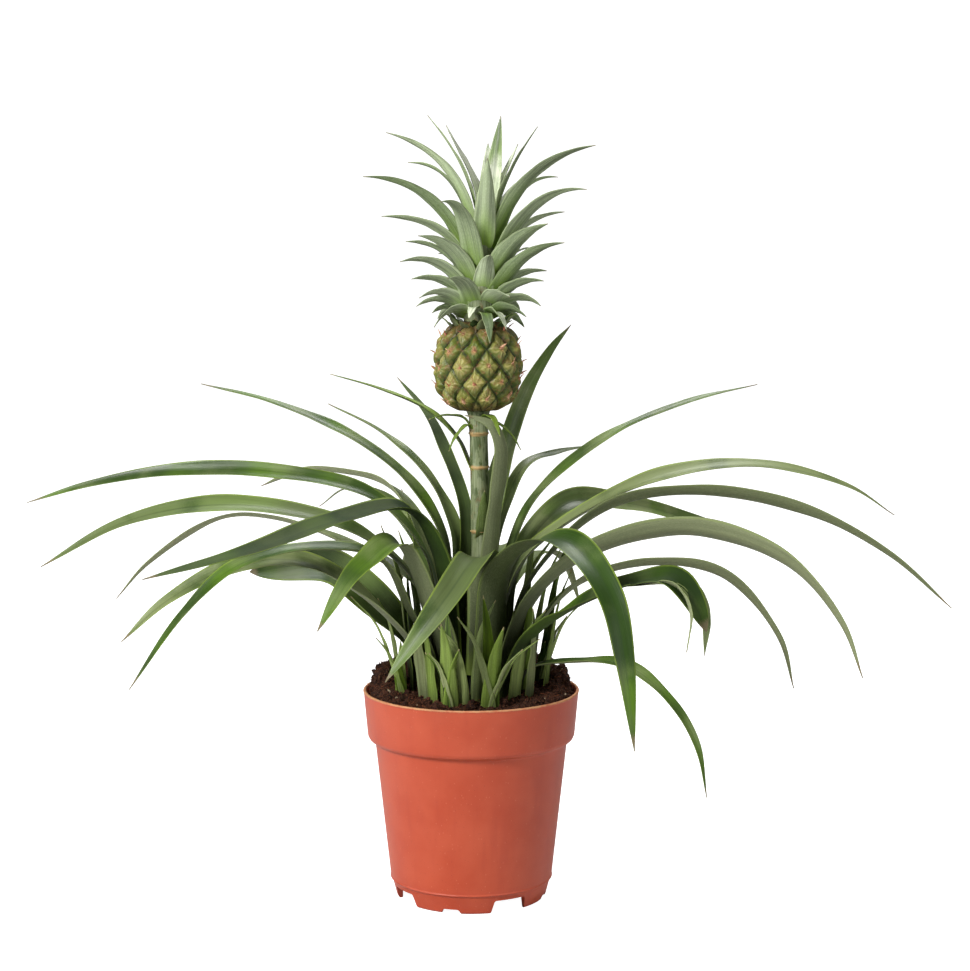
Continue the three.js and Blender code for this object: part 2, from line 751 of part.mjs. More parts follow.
// ---------------------------------------------------------------- side shoots
// Each shoot is a short stalk in the peat with blades round it, as [facing, reach, rise, width].
function shootBlade({ x, y }, [facing, reach, rise, width]) {
  const angle = radians(facing);
  const level = soilLevel(x, y) + 1.5;
  const at = (share, climb) =>
    new THREE.Vector3(
      x + Math.cos(angle) * (1 + reach * share),
      y + Math.sin(angle) * (1 + reach * share),
      level + rise * climb,
    );
  const path = [at(0, 0), at(0.2, 0.35), at(0.5, 0.72), at(1, 1)];
  const across = new THREE.Vector3(-Math.sin(angle), Math.cos(angle), 0);
  return blade(arched(path), { width, side: () => across, stations: 5, base: 0.5, ridge: SHOOT.blade });
}

function makeShoots() {
  for (const [name, shoot] of Object.entries(SHOOTS)) {
    const core = new THREE.CylinderGeometry(SHOOT.coreRadius, SHOOT.rootRadius, 1, 8);
    const height = soilLevel(shoot.x, shoot.y) + 6 - SHOOT.bottom;
    core.rotateX(Math.PI / 2).scale(1, 1, height);
    core.translate(shoot.x, shoot.y, SHOOT.bottom + height / 2);
    const blades = shoot.blades.map((blade) => solidOf(shootBlade(shoot, blade)));
    addNode(name, geometryOf(fuse([solidOf(core), ...blades])), SHOOT_GREEN);
  }
}

makePot();
makeSoil();
makeStem();
makeLeaves();
makeShoots();
makeFruit();
makeCrown();

export default plant;
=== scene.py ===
# %% [markdown]
# # A young pineapple plant in its nursery pot
#
# The plant is built over a fixed set of plain solids, the frame. Each visible solid is replaced by
# a finer piece of the same form, and every piece gets a material made from nodes. All sizes below
# are in millimetres, as on the solids. Meshes are scaled to metres when they are made.

import math

import bpy
import numpy as np
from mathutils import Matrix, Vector


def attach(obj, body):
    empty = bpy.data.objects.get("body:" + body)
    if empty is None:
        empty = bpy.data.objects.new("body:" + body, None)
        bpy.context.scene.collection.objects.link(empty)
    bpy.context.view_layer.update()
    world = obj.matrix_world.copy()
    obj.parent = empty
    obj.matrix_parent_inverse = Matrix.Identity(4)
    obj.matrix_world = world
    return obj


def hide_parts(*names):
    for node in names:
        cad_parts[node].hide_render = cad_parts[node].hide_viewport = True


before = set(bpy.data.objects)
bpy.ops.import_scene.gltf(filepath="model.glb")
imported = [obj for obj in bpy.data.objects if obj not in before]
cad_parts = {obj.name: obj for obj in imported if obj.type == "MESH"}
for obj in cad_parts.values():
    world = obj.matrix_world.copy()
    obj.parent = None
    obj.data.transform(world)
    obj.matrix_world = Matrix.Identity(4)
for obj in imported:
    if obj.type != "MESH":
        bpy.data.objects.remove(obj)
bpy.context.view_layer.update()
MM = 0.001

# %% [markdown]
# ## Camera
#
# The plant is seen from the front and from a little above the fruit, with a long lens from more
# than a metre away, so that the pot's sides stay almost parallel. A long lens is only a narrow
# angle of view: the distance sets the perspective, and the focal length sets the crop.

# %% Place the camera
CAMERA = {"aside": 7.8, "distance": 1250, "height": 380.5, "looks_down": 6.7, "lens": 83.5}
camera = bpy.data.objects.new("camera", bpy.data.cameras.new("camera"))
camera.location = (CAMERA["aside"] * MM, -CAMERA["distance"] * MM, CAMERA["height"] * MM)
camera.rotation_euler = (math.radians(90 - CAMERA["looks_down"]), 0, 0)
camera.data.lens = CAMERA["lens"]
camera.data.sensor_width = 36
bpy.context.collection.objects.link(camera)
bpy.context.scene.camera = camera
print("camera at", tuple(round(value, 3) for value in camera.location))

# %% [markdown]
# ## Node trees in short lines
#
# Node trees are easier to read when they look like formulas. A Wire below is one output of a node,
# and adding or multiplying wires adds the Math nodes that compute it. The same helper builds
# geometry trees, shader groups and materials.


# %% A helper that writes node trees
class Wire:
    def __init__(self, graph, socket):
        self.graph = graph
        self.socket = socket

    def __abs__(self):
        return self.graph.compute("ABSOLUTE", self)


# what + - * / and ** do to wires, with a number on either side
def arithmetic(operation, swapped):
    def act(self, other):
        pair = (other, self) if swapped else (self, other)
        return self.graph.compute(operation, *pair)

    return act


SIGNS = {"add": "ADD", "sub": "SUBTRACT", "mul": "MULTIPLY", "truediv": "DIVIDE", "pow": "POWER"}
for sign, operation in SIGNS.items():
    setattr(Wire, f"__{sign}__", arithmetic(operation, swapped=False))
    setattr(Wire, f"__r{sign}__", arithmetic(operation, swapped=True))


class Graph:
    def __init__(self, tree):
        self.tree = tree
        self.source = None
        self.target = None

    # a named input of a group or of a geometry tree
    def takes(self, name, kind, default=None):
        kind = "NodeSocket" + kind
        item = self.tree.interface.new_socket(name, in_out="INPUT", socket_type=kind)
        if default is not None:
            item.default_value = default
        if self.source is None:
            self.source = self.tree.nodes.new("NodeGroupInput")
        return Wire(self, self.source.outputs[name])

    # several inputs at once, each as (name, kind) or (name, kind, default)
    def takes_all(self, *rows):
        return [self.takes(*row) for row in rows]

    # a named output
    def gives(self, name, kind, wire):
        self.tree.interface.new_socket(name, in_out="OUTPUT", socket_type="NodeSocket" + kind)
        if self.target is None:
            self.target = self.tree.nodes.new("NodeGroupOutput")
        self.feed(self.target.inputs[name], wire)

    def feed(self, socket, value):
        if isinstance(value, Wire):
            self.tree.links.new(value.socket, socket)
        elif value is not None:
            socket.default_value = value

    # a node: values go to its inputs in order, or by name with at
    def node(self, kind, *values, out=0, at=None, **settings):
        made = self.tree.nodes.new(kind)
        for name, value in settings.items():
            setattr(made, name, value)
        for socket, value in zip([s for s in made.inputs if s.enabled], values):
            self.feed(socket, value)
        for name, value in (at or {}).items():
            self.feed(made.inputs[name], value)
        if isinstance(out, str):
            return Wire(self, made.outputs[out])
        return Wire(self, [s for s in made.outputs if s.enabled][out])

    # arithmetic on numbers or on vectors, or a vector times a number
    def compute(self, operation, a, b=None):
        def is_vector(x):
            return isinstance(x, tuple) or (isinstance(x, Wire) and x.socket.type == "VECTOR")

        if not is_vector(a) and not is_vector(b):
            return self.node("ShaderNodeMath", a, b, operation=operation)
        if operation == "MULTIPLY" and isinstance(a, Wire) and is_vector(a) and not is_vector(b):
            return self.node("ShaderNodeVectorMath", a, at={"Scale": b}, operation="SCALE")
        return self.node("ShaderNodeVectorMath", a, b, operation=operation)

    def sin(self, x):
        return self.compute("SINE", x)

    def cos(self, x):
        return self.compute("COSINE", x)

    def least(self, a, b):
        return self.compute("MINIMUM", a, b)

    def most(self, a, b):
        return self.compute("MAXIMUM", a, b)

    # 0 below low, 1 above high, with soft ends
    def step(self, x, low, high):
        soft = {"interpolation_type": "SMOOTHSTEP"}
        return self.node("ShaderNodeMapRange", x, low, high, 0.0, 1.0, **soft)

    def mix(self, a, b, share):
        return self.node("ShaderNodeMix", share, a, b, data_type="RGBA")

    # colours laid one over the other, each as (red, green, blue) and its share
    def layers(self, base, *coats):
        for values, share in coats:
            base = self.mix(base, colour(*values), share)
        return base

    def vector(self, x, y, z):
        return self.node("ShaderNodeCombineXYZ", x, y, z)

    def split(self, vector):
        parts = self.tree.nodes.new("ShaderNodeSeparateXYZ")
        self.feed(parts.inputs[0], vector)
        return [Wire(self, socket) for socket in parts.outputs]

    def noise(self, place, scale=1.0, detail=2.0, rough=0.5):
        at = {"Vector": place, "Scale": scale, "Detail": detail, "Roughness": rough}
        return self.node("ShaderNodeTexNoise", at=at)

    # an attribute of the mesh, in a material
    def attribute(self, name, out="Fac"):
        return self.node("ShaderNodeAttribute", attribute_name=name, out=out)

    # the place on the object in millimetres, in a material
    def spot(self):
        return self.node("ShaderNodeTexCoord", out="Object") * 1000.0

    # the three things that every material here sets: colour, roughness and relief
    def surface(self, skin, base, rough, height, strength, depth):
        self.feed(skin.inputs["Base Color"], base)
        self.feed(skin.inputs["Roughness"], rough)
        at = {"Height": height, "Strength": strength, "Distance": depth * MM}
        self.feed(skin.inputs["Normal"], self.node("ShaderNodeBump", at=at))

    # the end of every geometry tree
    def ends(self, name, geometry, material, smooth=True):
        if smooth:
            geometry = self.node("GeometryNodeSetShadeSmooth", geometry)
        geometry = self.node("GeometryNodeRealizeInstances", geometry)
        geometry = self.node("GeometryNodeSetMaterial", geometry, at={"Material": material})
        self.gives(name, "Geometry", geometry)
        print("tree:", self.tree.name, "with", len(self.tree.nodes), "nodes")
        return self.tree


def geometry_graph(name):
    return Graph(bpy.data.node_groups.new(name, "GeometryNodeTree"))


def shader_group(name):
    return Graph(bpy.data.node_groups.new(name, "ShaderNodeTree"))


def new_material(name, specular=0.5):
    material = bpy.data.materials.new(name)
    material.use_nodes = True
    skin = material.node_tree.nodes["Principled BSDF"]
    skin.inputs["Specular IOR Level"].default_value = specular
    print("material:", name)
    return material, Graph(material.node_tree), skin


# sRGB values of a colour, as they look on a screen, to the linear values that nodes use
def colour(red, green, blue):
    def linear(value):
        value /= 255
        return value / 12.92 if value <= 0.04045 else ((value + 0.055) / 1.055) ** 2.4

    return (linear(red), linear(green), linear(blue), 1.0)


print("helpers ready")

# %% [markdown]
# ## Making finished pieces
#
# A geometry tree works on a plain mesh that carries it as a modifier. The inputs are set by their
# identifiers before anything is evaluated, and the result is then stored as an ordinary mesh, so
# that no modifier is left.


# %% Helpers for pieces
def mesh_of(name, points, faces=(), edges=()):
    mesh = bpy.data.meshes.new(name)
    mesh.from_pydata([tuple(p) for p in np.asarray(points) * MM], edges, faces)
    mesh.update()
    return mesh


def put_attribute(mesh, name, values, kind="FLOAT"):
    layer = mesh.attributes.new(name, kind, "POINT")
    key = "vector" if kind == "FLOAT_VECTOR" else "value"
    layer.data.foreach_set(key, np.asarray(values, np.float32).ravel())


def evaluated(carrier):
    graph = bpy.context.evaluated_depsgraph_get()
    mesh = bpy.data.meshes.new_from_object(carrier.evaluated_get(graph))
    bpy.data.objects.remove(carrier)
    return mesh


def grow(name, mesh, tree, **inputs):
    carrier = bpy.data.objects.new(name, mesh)
    bpy.context.collection.objects.link(carrier)
    modifier = carrier.modifiers.new("grow", "NODES")
    modifier.node_group = tree
    sockets = {
        item.name.replace(" ", "_").lower(): item.identifier
        for item in tree.interface.items_tree
        if item.item_type == "SOCKET" and item.in_out == "INPUT"
    }
    for key, value in inputs.items():
        modifier[sockets[key]] = value
    grown = evaluated(carrier)
    grown.name = name
    return grown


def finished(name, mesh, slot, *nodes):
    piece = bpy.data.objects.new(name, mesh)
    bpy.context.collection.objects.link(piece)
    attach(piece, "root")
    if nodes:
        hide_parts(*nodes)
    mesh.calc_loop_triangles()
    print(name, len(mesh.loop_triangles), "triangles")
    return piece


# 0 below low, 1 above high, with soft ends
def smooth_step(x, low, high):
    t = np.clip((np.asarray(x, float) - low) / (high - low), 0, 1)
    return t * t * (3 - 2 * t)


def blend(a, b, share):
    return a + (b - a) * share


print("piece helpers ready")

# %% [markdown]
# ## Shader groups
#
# Three effects turn up on more than one surface. Streaks run along a blade or a stalk. Speckle is
# scattered dust, scurf or scuffs. The leaf colouring puts both together: it knows how far along,
# how far across and on which face of a blade a point lies.

# %% Group: streaks along a blade
g = shader_group("Streaks")
place = g.takes("Place", "Vector")
spacing = g.takes("Spacing", "Float", 0.5)
stretch = g.takes("Stretch", "Float", 60.0)
x, y, z = g.split(place)
fine = g.noise(g.vector(x / spacing, y / spacing / stretch, z), 1.0, 1.0)
broad = g.noise(g.vector(x / spacing * 0.28, y / spacing / stretch * 0.5, z + 40.0), 1.0, 1.0)
lines = fine * 0.6 + broad * 0.4
g.gives("Lines", "Float", g.step(lines, 0.36, 0.64))
g.gives("Broad", "Float", g.step(broad, 0.35, 0.65))
STREAKS = g.tree


def streaks(g, place, spacing, stretch=60.0, out="Lines"):
    at = {"Place": place, "Spacing": spacing, "Stretch": stretch}
    return g.node("ShaderNodeGroup", node_tree=STREAKS, at=at, out=out)


print("group:", STREAKS.name)

# %% Group: speckle
g = shader_group("Speckle")
place = g.takes("Place", "Vector")
size = g.takes("Size", "Float", 1.0)
amount = g.takes("Amount", "Float", 0.3)
at = {"Vector": place, "Scale": 1.0 / size, "Randomness": 1.0}
cells = g.node("ShaderNodeTexVoronoi", at=at, out="Distance")
ragged = g.noise(place, 2.2 / size, 3.0, 0.6)
cover = g.noise(place, 0.21 / size, 2.0)
edge = amount * (cover + 0.5) * (ragged + 0.5)
g.gives("Mask", "Float", g.step(cells, edge * 0.55, edge * 0.45))
SPECKLE = g.tree


def speckle(g, place, size, amount):
    at = {"Place": place, "Size": size, "Amount": amount}
    return g.node("ShaderNodeGroup", node_tree=SPECKLE, at=at, out="Mask")


print("group:", SPECKLE.name)

# %% Group: the colours of a blade
g = shader_group("Leaf Colouring")
place = g.takes("Place", "Vector")
across, face, along = (g.takes(name, "Float") for name in ("Across", "Face", "Along"))
names = ("Top", "Fresh", "Grey", "Under", "Pale Under", "Margin", "Base", "Tip")
top, fresh, grey, under, pale_under, margin, base, tip = (g.takes(n, "Color") for n in names)
tone, bloom, scurf, base_reach, root_shade, contrast, variety = g.takes_all(
    ("Tone", "Float", 0.5),
    ("Bloom", "Float", 0.4),
    ("Scurf", "Float", 0.5),
    ("Base Reach", "Float", 0.2),
    ("Root Shade", "Float", 0.28),
    ("Streakiness", "Float", 0.16),
    ("Variety", "Float", 0.0),
)

off = abs(across)
is_top = g.step(face, -0.15, 0.15)
fine = streaks(g, place, 0.42, 90.0)
broad = streaks(g, place, 1.6, 30.0, out="Broad")
cloud = g.noise(place, 0.045, 2.0)
# scurf lies on the whole underside, and on top in the channel and in patches
scaly = g.noise(place * (1.0, 0.25, 1.0), 3.2, 2.0, 0.7)
patches = g.step(cloud + tone * 0.35 + scaly * 0.25, 0.62, 0.95)
vigour = g.noise(place * (0.25, 1.0, 1.0), 0.021, 2.0)
top = g.mix(top, fresh, g.step(vigour, 0.42, 0.72))
dusted = g.mix(top, grey, g.least(patches * scurf + bloom * (0.35 + 0.65 * patches), 1.0))
pale = g.least(bloom * 0.9 + g.step(scaly, 0.35, 0.75) * 0.25, 1.0)
below = g.mix(under, pale_under, pale)
# an old leaf has lost the scales of its underside and is as green there as on top
bare = g.step(bloom, 0.12, 0.02)
below = g.mix(below, top, bare * 0.85)
body = g.mix(below, dusted, is_top)
# in a bunch of young blades, some are a brighter yellow-green on both faces
body = g.mix(body, fresh, g.step(tone * variety, 0.42, 0.62) * 0.36)
# darker and paler lines along the leaf, and shade where it grows out of the bunch
shade_at_root = root_shade + (1.0 - root_shade) * g.step(along, 0.02, 0.34)
shading = (1.0 + (fine + broad - 1.0) * contrast) * shade_at_root * (1.0 - bare * 0.45)
body = g.node("ShaderNodeVectorMath", body, at={"Scale": shading}, operation="SCALE")
# painted shade in the fold along the middle of the upper face, a bright margin, a pale young base
# and a dry tip
fold = g.step(off, 0.12, 0.0) * 0.3
body = g.mix(body, (0.02, 0.04, 0.015, 1.0), fold * is_top)
edge = g.step(off + scaly * 0.03, 0.87, 0.93)
body = g.mix(body, margin, edge * (0.25 + 0.5 * broad) * (0.35 + 0.65 * is_top))
young = g.step(along + cloud * 0.1 + off * base_reach * 0.3, base_reach + 0.05, 0.02)
body = g.mix(body, base, young * (0.55 + 0.35 * fine))
body = g.mix(body, tip, g.step(along + scaly * 0.03, 0.975, 0.995))
g.gives("Colour", "Color", body)
rough = g.node("ShaderNodeMix", is_top, 0.60, 0.34, data_type="FLOAT")
g.gives("Roughness", "Float", rough + patches * scurf * 0.15 + fine * 0.06 + bare * 0.3)
g.gives("Height", "Float", fine * 0.5 + broad * 0.5 + scaly * 0.12)
LEAF_COLOURING = g.tree
print("group:", LEAF_COLOURING.name, "with", len(LEAF_COLOURING.nodes), "nodes")

# %% Material helper for blades
def blade_material(name, specular=0.22, **looks):
    material, g, skin = new_material(name, specular)
    at = {"Place": g.attribute("place", out="Vector")}
    for key in ("across", "face", "along", "tone", "bloom"):
        at[key.title()] = g.attribute(key)
    for key, value in looks.items():
        value = colour(*value) if isinstance(value, tuple) else value
        at[key.replace("_", " ").title()] = value
    look = g.node("ShaderNodeGroup", node_tree=LEAF_COLOURING, at=at).socket.node
    base, rough, height = (Wire(g, look.outputs[n]) for n in ("Colour", "Roughness", "Height"))
    g.surface(skin, base, rough, height, strength=0.25, depth=0.25)
    return material


LEAF = blade_material(
    "rosette leaf",
    top=(34, 62, 5),
    fresh=(78, 112, 18),
    grey=(122, 134, 86),
    under=(64, 76, 34),
    pale_under=(146, 153, 116),
    margin=(136, 158, 60),
    base=(140, 164, 62),
    tip=(120, 110, 80),
    scurf=0.3,
    base_reach=0.16,
    specular=0.30,
)
CROWN_LEAF = blade_material(
    "crown leaf",
    top=(70, 98, 36),
    fresh=(116, 146, 62),
    grey=(208, 214, 190),
    under=(74, 96, 42),
    pale_under=(168, 178, 148),
    margin=(170, 184, 132),
    base=(122, 158, 14),
    tip=(140, 136, 110),
    scurf=1.0,
    base_reach=0.62,
    root_shade=0.80,
    streakiness=0.5,
)
SHOOT_LEAF = blade_material(
    "young shoot leaf",
    top=(54, 82, 14),
    fresh=(118, 148, 26),
    grey=(128, 138, 92),
    under=(74, 92, 36),
    pale_under=(140, 148, 104),
    margin=(142, 168, 70),
    base=(150, 158, 72),
    tip=(150, 140, 100),
    scurf=0.4,
    base_reach=0.22,
    root_shade=0.30,
    streakiness=0.4,
    variety=1.0,
)

# %% [markdown]
# ## Blades from a path
#
# Every leaf is the same thing: a thin channelled strip that follows an arched path. The path is a
# smooth curve through a few points, and at each station along it the strip has a half width, a
# depth of channel and a direction across. Those numbers are stored on a chain of points, and one
# geometry tree turns every chain into a skin with rounded edges. Modelling thirty leaves by hand
# would give thirty meshes to keep alike; here a leaf is one line of numbers.


# %% Smooth paths
def catmull_rom(points, per_span=40):
    points = np.asarray(points, float)
    ends = [2 * points[0] - points[1], *points, 2 * points[-1] - points[-2]]
    path = []
    for a, b, c, d in zip(ends, ends[1:], ends[2:], ends[3:]):
        ta, tb, tc = (math.sqrt(np.linalg.norm(q - p)) for p, q in ((a, b), (b, c), (c, d)))
        start = ((b - a) / ta - (c - a) / (ta + tb) + (c - b) / tb) * tb
        stop = ((c - b) / tb - (d - b) / (tb + tc) + (d - c) / tc) * tb
        t = np.linspace(0, 1, per_span, endpoint=False)[:, None]
        bent = (2 * b - 2 * c + start + stop) * t**3
        path.append(b + start * t + (3 * c - 3 * b - 2 * start - stop) * t**2 + bent)
    return np.vstack([*path, points[-1:]])


def bezier(a, b, c, d, count=160):
    t = np.linspace(0, 1, count)[:, None]
    return a * (1 - t) ** 3 + 3 * b * t * (1 - t) ** 2 + 3 * c * t * t * (1 - t) + d * t**3


# evenly spaced points on a path, their directions, and how far along they are
def stationed(path, s):
    lengths = np.r_[0, np.cumsum(np.linalg.norm(np.diff(path, axis=0), axis=1))]
    wanted = s * lengths[-1]
    middle = np.stack([np.interp(wanted, lengths, path[:, k]) for k in range(3)], 1)
    ways = np.gradient(path, lengths, axis=0)
    ways = np.stack([np.interp(wanted, lengths, ways[:, k]) for k in range(3)], 1)
    return middle, ways / np.linalg.norm(ways, axis=1)[:, None], wanted


print("path helpers ready")


# %% One blade as a chain of stations
CHANCE = np.random.default_rng(7)


# sideways gives the direction across at shares of the length. The root wraps round a stump of the
# radius clasp (1e3 is flat) and is base times as wide as the blade. A higher fullness keeps the
# blade wide for longer. Roll and twist are in degrees, thick is given for the root and the tip, and
# wave is the height of the ripples in the margin.
def blade(
    path,
    width,
    sideways,
    stations=72,
    clasp=1e3,
    base=1.1,
    fullness=2.6,
    roll=0.0,
    twist=0.0,
    thick=(0.8, 0.6),
    wave=0.5,
    bloom=None,
):
    s = np.linspace(0, 1, stations)
    middle, way, length = stationed(path, s)
    side = sideways(s)
    side = side - way * np.sum(side * way, 1)[:, None]
    side /= np.linalg.norm(side, axis=1)[:, None]
    turn = np.radians(roll + twist * smooth_step(s, 0.2, 0.6))[:, None]
    side = side * np.cos(turn) + np.cross(way, side) * np.sin(turn)
    clasping = 1 + (base - 1) * np.exp(-s / 0.08)
    half = np.maximum(clasping * (1 - s**fullness) ** 0.9, 0.02) * width / 2
    wrapped = clasp - np.sqrt(np.maximum(clasp**2 - half**2, 0))
    trough = blend(wrapped, half * blend(0.5, 0.2, s), smooth_step(s, 0.1, 0.4))
    phase = CHANCE.uniform(0, 6.28)
    ripple = wave * np.sin(s * 21) * np.sin(np.pi * s)
    ripple += 0.3 * wave * np.sin(s * 47 + phase) * np.sin(np.pi * s)
    return {
        "middle": middle,
        "side": side,
        "up": np.cross(way, side),
        "half": half,
        "trough": trough,
        "thick": blend(thick[0], thick[1], s),
        "ripple": ripple,
        "along": s,
        "length": length,
        "tone": np.full(stations, CHANCE.uniform()),
        "bloom": np.full(stations, CHANCE.uniform(0.2, 0.8) if bloom is None else bloom),
    }


# for a blade that keeps one direction across
def steady(across):
    return lambda s: np.tile(across, (len(s), 1))


# all blades of a piece as one mesh of loose chains, with their numbers on the points
def chains(name, blades):
    joined = {key: np.concatenate([b[key] for b in blades]) for key in blades[0]}
    edges = []
    start = 0
    for one in blades:
        count = len(one["along"])
        edges += [(start + k, start + k + 1) for k in range(count - 1)]
        start += count
    mesh = mesh_of(name, joined["middle"], edges=edges)
    for key, values in joined.items():
        if key in ("middle", "side", "up"):
            put_attribute(mesh, key, values * (MM if key == "middle" else 1), "FLOAT_VECTOR")
        elif key in ("half", "trough", "thick", "ripple"):
            put_attribute(mesh, key, values * MM)
        else:
            put_attribute(mesh, key, values)
    return mesh


print("blade helpers ready")

# %% The tree that skins a chain
def named(g, name, kind="FLOAT"):
    return g.node("GeometryNodeInputNamedAttribute", name, data_type=kind)


def stored(g, geometry, name, value, kind="FLOAT"):
    settings = {"data_type": kind, "domain": "POINT"}
    at = {"Name": name, "Value": value}
    return g.node("GeometryNodeStoreNamedAttribute", geometry, at=at, **settings)


# a closed skin round a chain, whose points know how far round they are
def swept(g, spine, sides):
    rim = g.node("GeometryNodeCurvePrimitiveCircle", sides)
    rim = stored(g, rim, "turn", g.node("GeometryNodeInputIndex") / sides * (2 * math.pi))
    curve = g.node("GeometryNodeMeshToCurve", spine)
    at = {"Curve": curve, "Profile Curve": rim, "Fill Caps": True}
    return g.node("GeometryNodeCurveToMesh", at=at)


g = geometry_graph("Blade Skin")
spines, sides, channel, material = g.takes_all(
    ("Spines", "Geometry"),
    ("Sides", "Int", 20),
    ("Channel", "Float", 1.7),
    ("Material", "Material"),
)
skin = swept(g, spines, sides)
across = g.cos(named(g, "turn"))
rise = g.sin(named(g, "turn"))
level = g.compute("SIGN", rise) * abs(rise) ** 0.55
half = named(g, "half")
lift = named(g, "trough") * abs(across) ** channel
lift = lift + level * named(g, "thick") * 0.5 - across * named(g, "ripple")
centre, side, up = (named(g, name, "FLOAT_VECTOR") for name in ("middle", "side", "up"))
spot = centre + side * (across * half) + up * lift
skin = g.node("GeometryNodeSetPosition", skin, at={"Position": spot})
skin = stored(g, skin, "across", across)
skin = stored(g, skin, "face", level)
own = named(g, "tone") * 300.0 + level * 3.0
place = g.vector(across * half * 1000.0, named(g, "length"), own)
skin = stored(g, skin, "place", place, "FLOAT_VECTOR")
BLADE_SKIN = g.ends("Skin", skin, material)


def skinned(name, blades, material, sides=20):
    mesh = grow(name, chains(name, blades), BLADE_SKIN, sides=sides, material=material)
    for key in ("middle", "side", "up", "half", "trough", "thick", "ripple", "turn"):
        if key in mesh.attributes:
            mesh.attributes.remove(mesh.attributes[key])
    return mesh

# %% [markdown]
# ## Where things stand
#
# The numbers below are those of the solids: the pot, the cone-shaped stump under the leaves, the
# stalk that leans a little to the right, and the fruit and crown on top of it.

# %% Main sizes
POT = {
    "height": 118.5,
    "rim": 61.0,
    "band": 28.5,
    "band_taper": 2.6,
    "band_step": 4.2,
    "base": 45.6,
    "foot": 42.5,
    "foot_height": 9.6,
    "wall": 1.5,
}
STUMP = {"bottom": 64.0, "wide_level": 101.0, "wide": 27.0, "top_level": 152.0, "top": 6.4}
STALK = {"radius": 5.3, "top": 276.0, "nodes": (190, 208, 244, 263), "bow": 3.1}
LEAN = {"stalk": 4.0, "crown": 13.0}
FRUIT_LEVELS = (276.0, 325.0)


def axis_at(level):
    level = np.asarray(level, float)
    up = np.clip((level - STUMP["wide_level"]) / (STALK["top"] - STUMP["wide_level"]), 0, 1)
    over = np.clip((level - FRUIT_LEVELS[1]) / 110, 0, 1)
    x = LEAN["stalk"] * up + (LEAN["crown"] - LEAN["stalk"]) * over
    return np.stack([x, x * 0, level], -1)


def facing_way(degrees):
    angle = np.radians(degrees)
    return np.stack([np.cos(angle), np.sin(angle), angle * 0], -1)


# the level way across a blade that faces that way
def across_way(degrees):
    return facing_way(np.asarray(degrees, float) + 90)


print("the fruit sits from", *FRUIT_LEVELS, "mm")

# %% [markdown]
# ## Rosette leaves
#
# Thirty long leaves spring from the stump in a spiral. Each one clasps the stump, rises, arches
# over and ends in a long point, but for one at the right whose tip has torn into two lobes. The
# upper face is dark green and shaded by fine lines, the lower face is pale with grey scurf, and the
# margins are thin and bright.

# %% The leaves, from the innermost to the outermost
# facing in degrees, width, twist, sweep, and the arch as (reach, height above the rim)
LEAVES = [
    (322, 15, 0, -75, [(13, 76), (15, 98), (18, 123), (20, 139), (19, 151), (18, 156)]),
    (50, 13, 67, 0, [(18, 118), (38, 161), (64, 188), (84, 202)]),
    (125, 9, -10, 0, [(11, 100), (37, 138), (50, 151), (83, 171)]),
    (145, 12, 8, 0, [(15, 88), (35, 119), (67, 141), (107, 156)]),
    (45, 9, 19, 0, [(19, 92), (38, 123), (64, 129), (95, 131)]),
    (22, 10, 14, 0, [(23, 80), (36, 106), (77, 138), (130, 158), (176, 167)]),
    (165, 12, -15, 0, [(19, 83), (38, 114), (73, 140), (121, 159), (165, 169)]),
    (212, 19, -18, 0, [(26, 78), (45, 104), (83, 102), (144, 88), (201, 79)]),
    (8, 17, 19, 0, [(27, 71), (51, 92), (102, 117), (160, 124), (215, 111), (243, 94)]),
    (295, 20, 0, -53, [(20, 60), (25, 75), (34, 79), (68, 64), (97, 21)]),
    (172, 12, -52, 0, [(29, 77), (60, 108), (118, 121), (174, 121), (225, 112), (261, 101)]),
    (304, 20, 20, 0, [(25, 67), (67, 92), (95, 91), (126, 69), (139, 39), (150, -7)]),
    (348, 15, -38, 0, [(34, 65), (75, 104), (126, 114), (184, 105), (229, 83), (263, 55)]),
    (186, 16, -36, 0, [(34, 62), (63, 87), (93, 99), (142, 106), (195, 97), (240, 73)]),
    (140, 16, 24, 0, [(33, 71), (62, 107), (107, 115), (141, 112), (171, 102)]),
    (222, 22, -15, 0, [(36, 52), (58, 88), (77, 80), (89, 72), (111, 46)]),
    (34, 17, 45, 0, [(27, 64), (62, 100), (103, 98), (151, 86), (196, 74)]),
    (334, 23, -42, 0, [(36, 50), (57, 72), (96, 91), (135, 97), (182, 84), (213, 54), (226, 26)]),
    (130, 13, -20, 0, [(36, 62), (68, 92), (118, 103), (149, 89)]),
    (200, 14, -18, 0, [(40, 48), (56, 76), (91, 84), (136, 77), (166, 52), (195, 13)]),
    (112, 13, 0, 0, [(35, 50), (60, 70), (97, 67), (126, 38)]),
    (79, 14, 0, 0, [(30, 52), (60, 70), (96, 64), (121, 26)]),
    (358, 15, -31, 0, [(40, 40), (60, 60), (99, 71), (139, 65), (171, 31), (181, 1)]),
    (155, 13, 13, 0, [(32, 52), (82, 77), (131, 89), (166, 87), (217, 57), (240, 34)]),
    (60, 13, 0, 0, [(32, 44), (70, 66), (105, 60), (130, 29)]),
    (192, 18, -34, 0, [(45, 37), (92, 73), (129, 75), (171, 56), (196, 34)]),
    (322, 19, 18, 6, [(41, 32), (66, 51), (106, 70), (129, 73), (149, 44), (148, 33)]),
    (168, 21, -84, 0, [(43, 30), (70, 60), (86, 68), (132, 62)]),
    (96, 13, 0, 0, [(34, 36), (66, 47), (95, 37), (119, 8)]),
    (335, 10, 21, 0, [(34, 13), (63, 20), (94, 20), (121, 1), (135, -20), (141, -48)]),
]
print(len(LEAVES), "leaves")


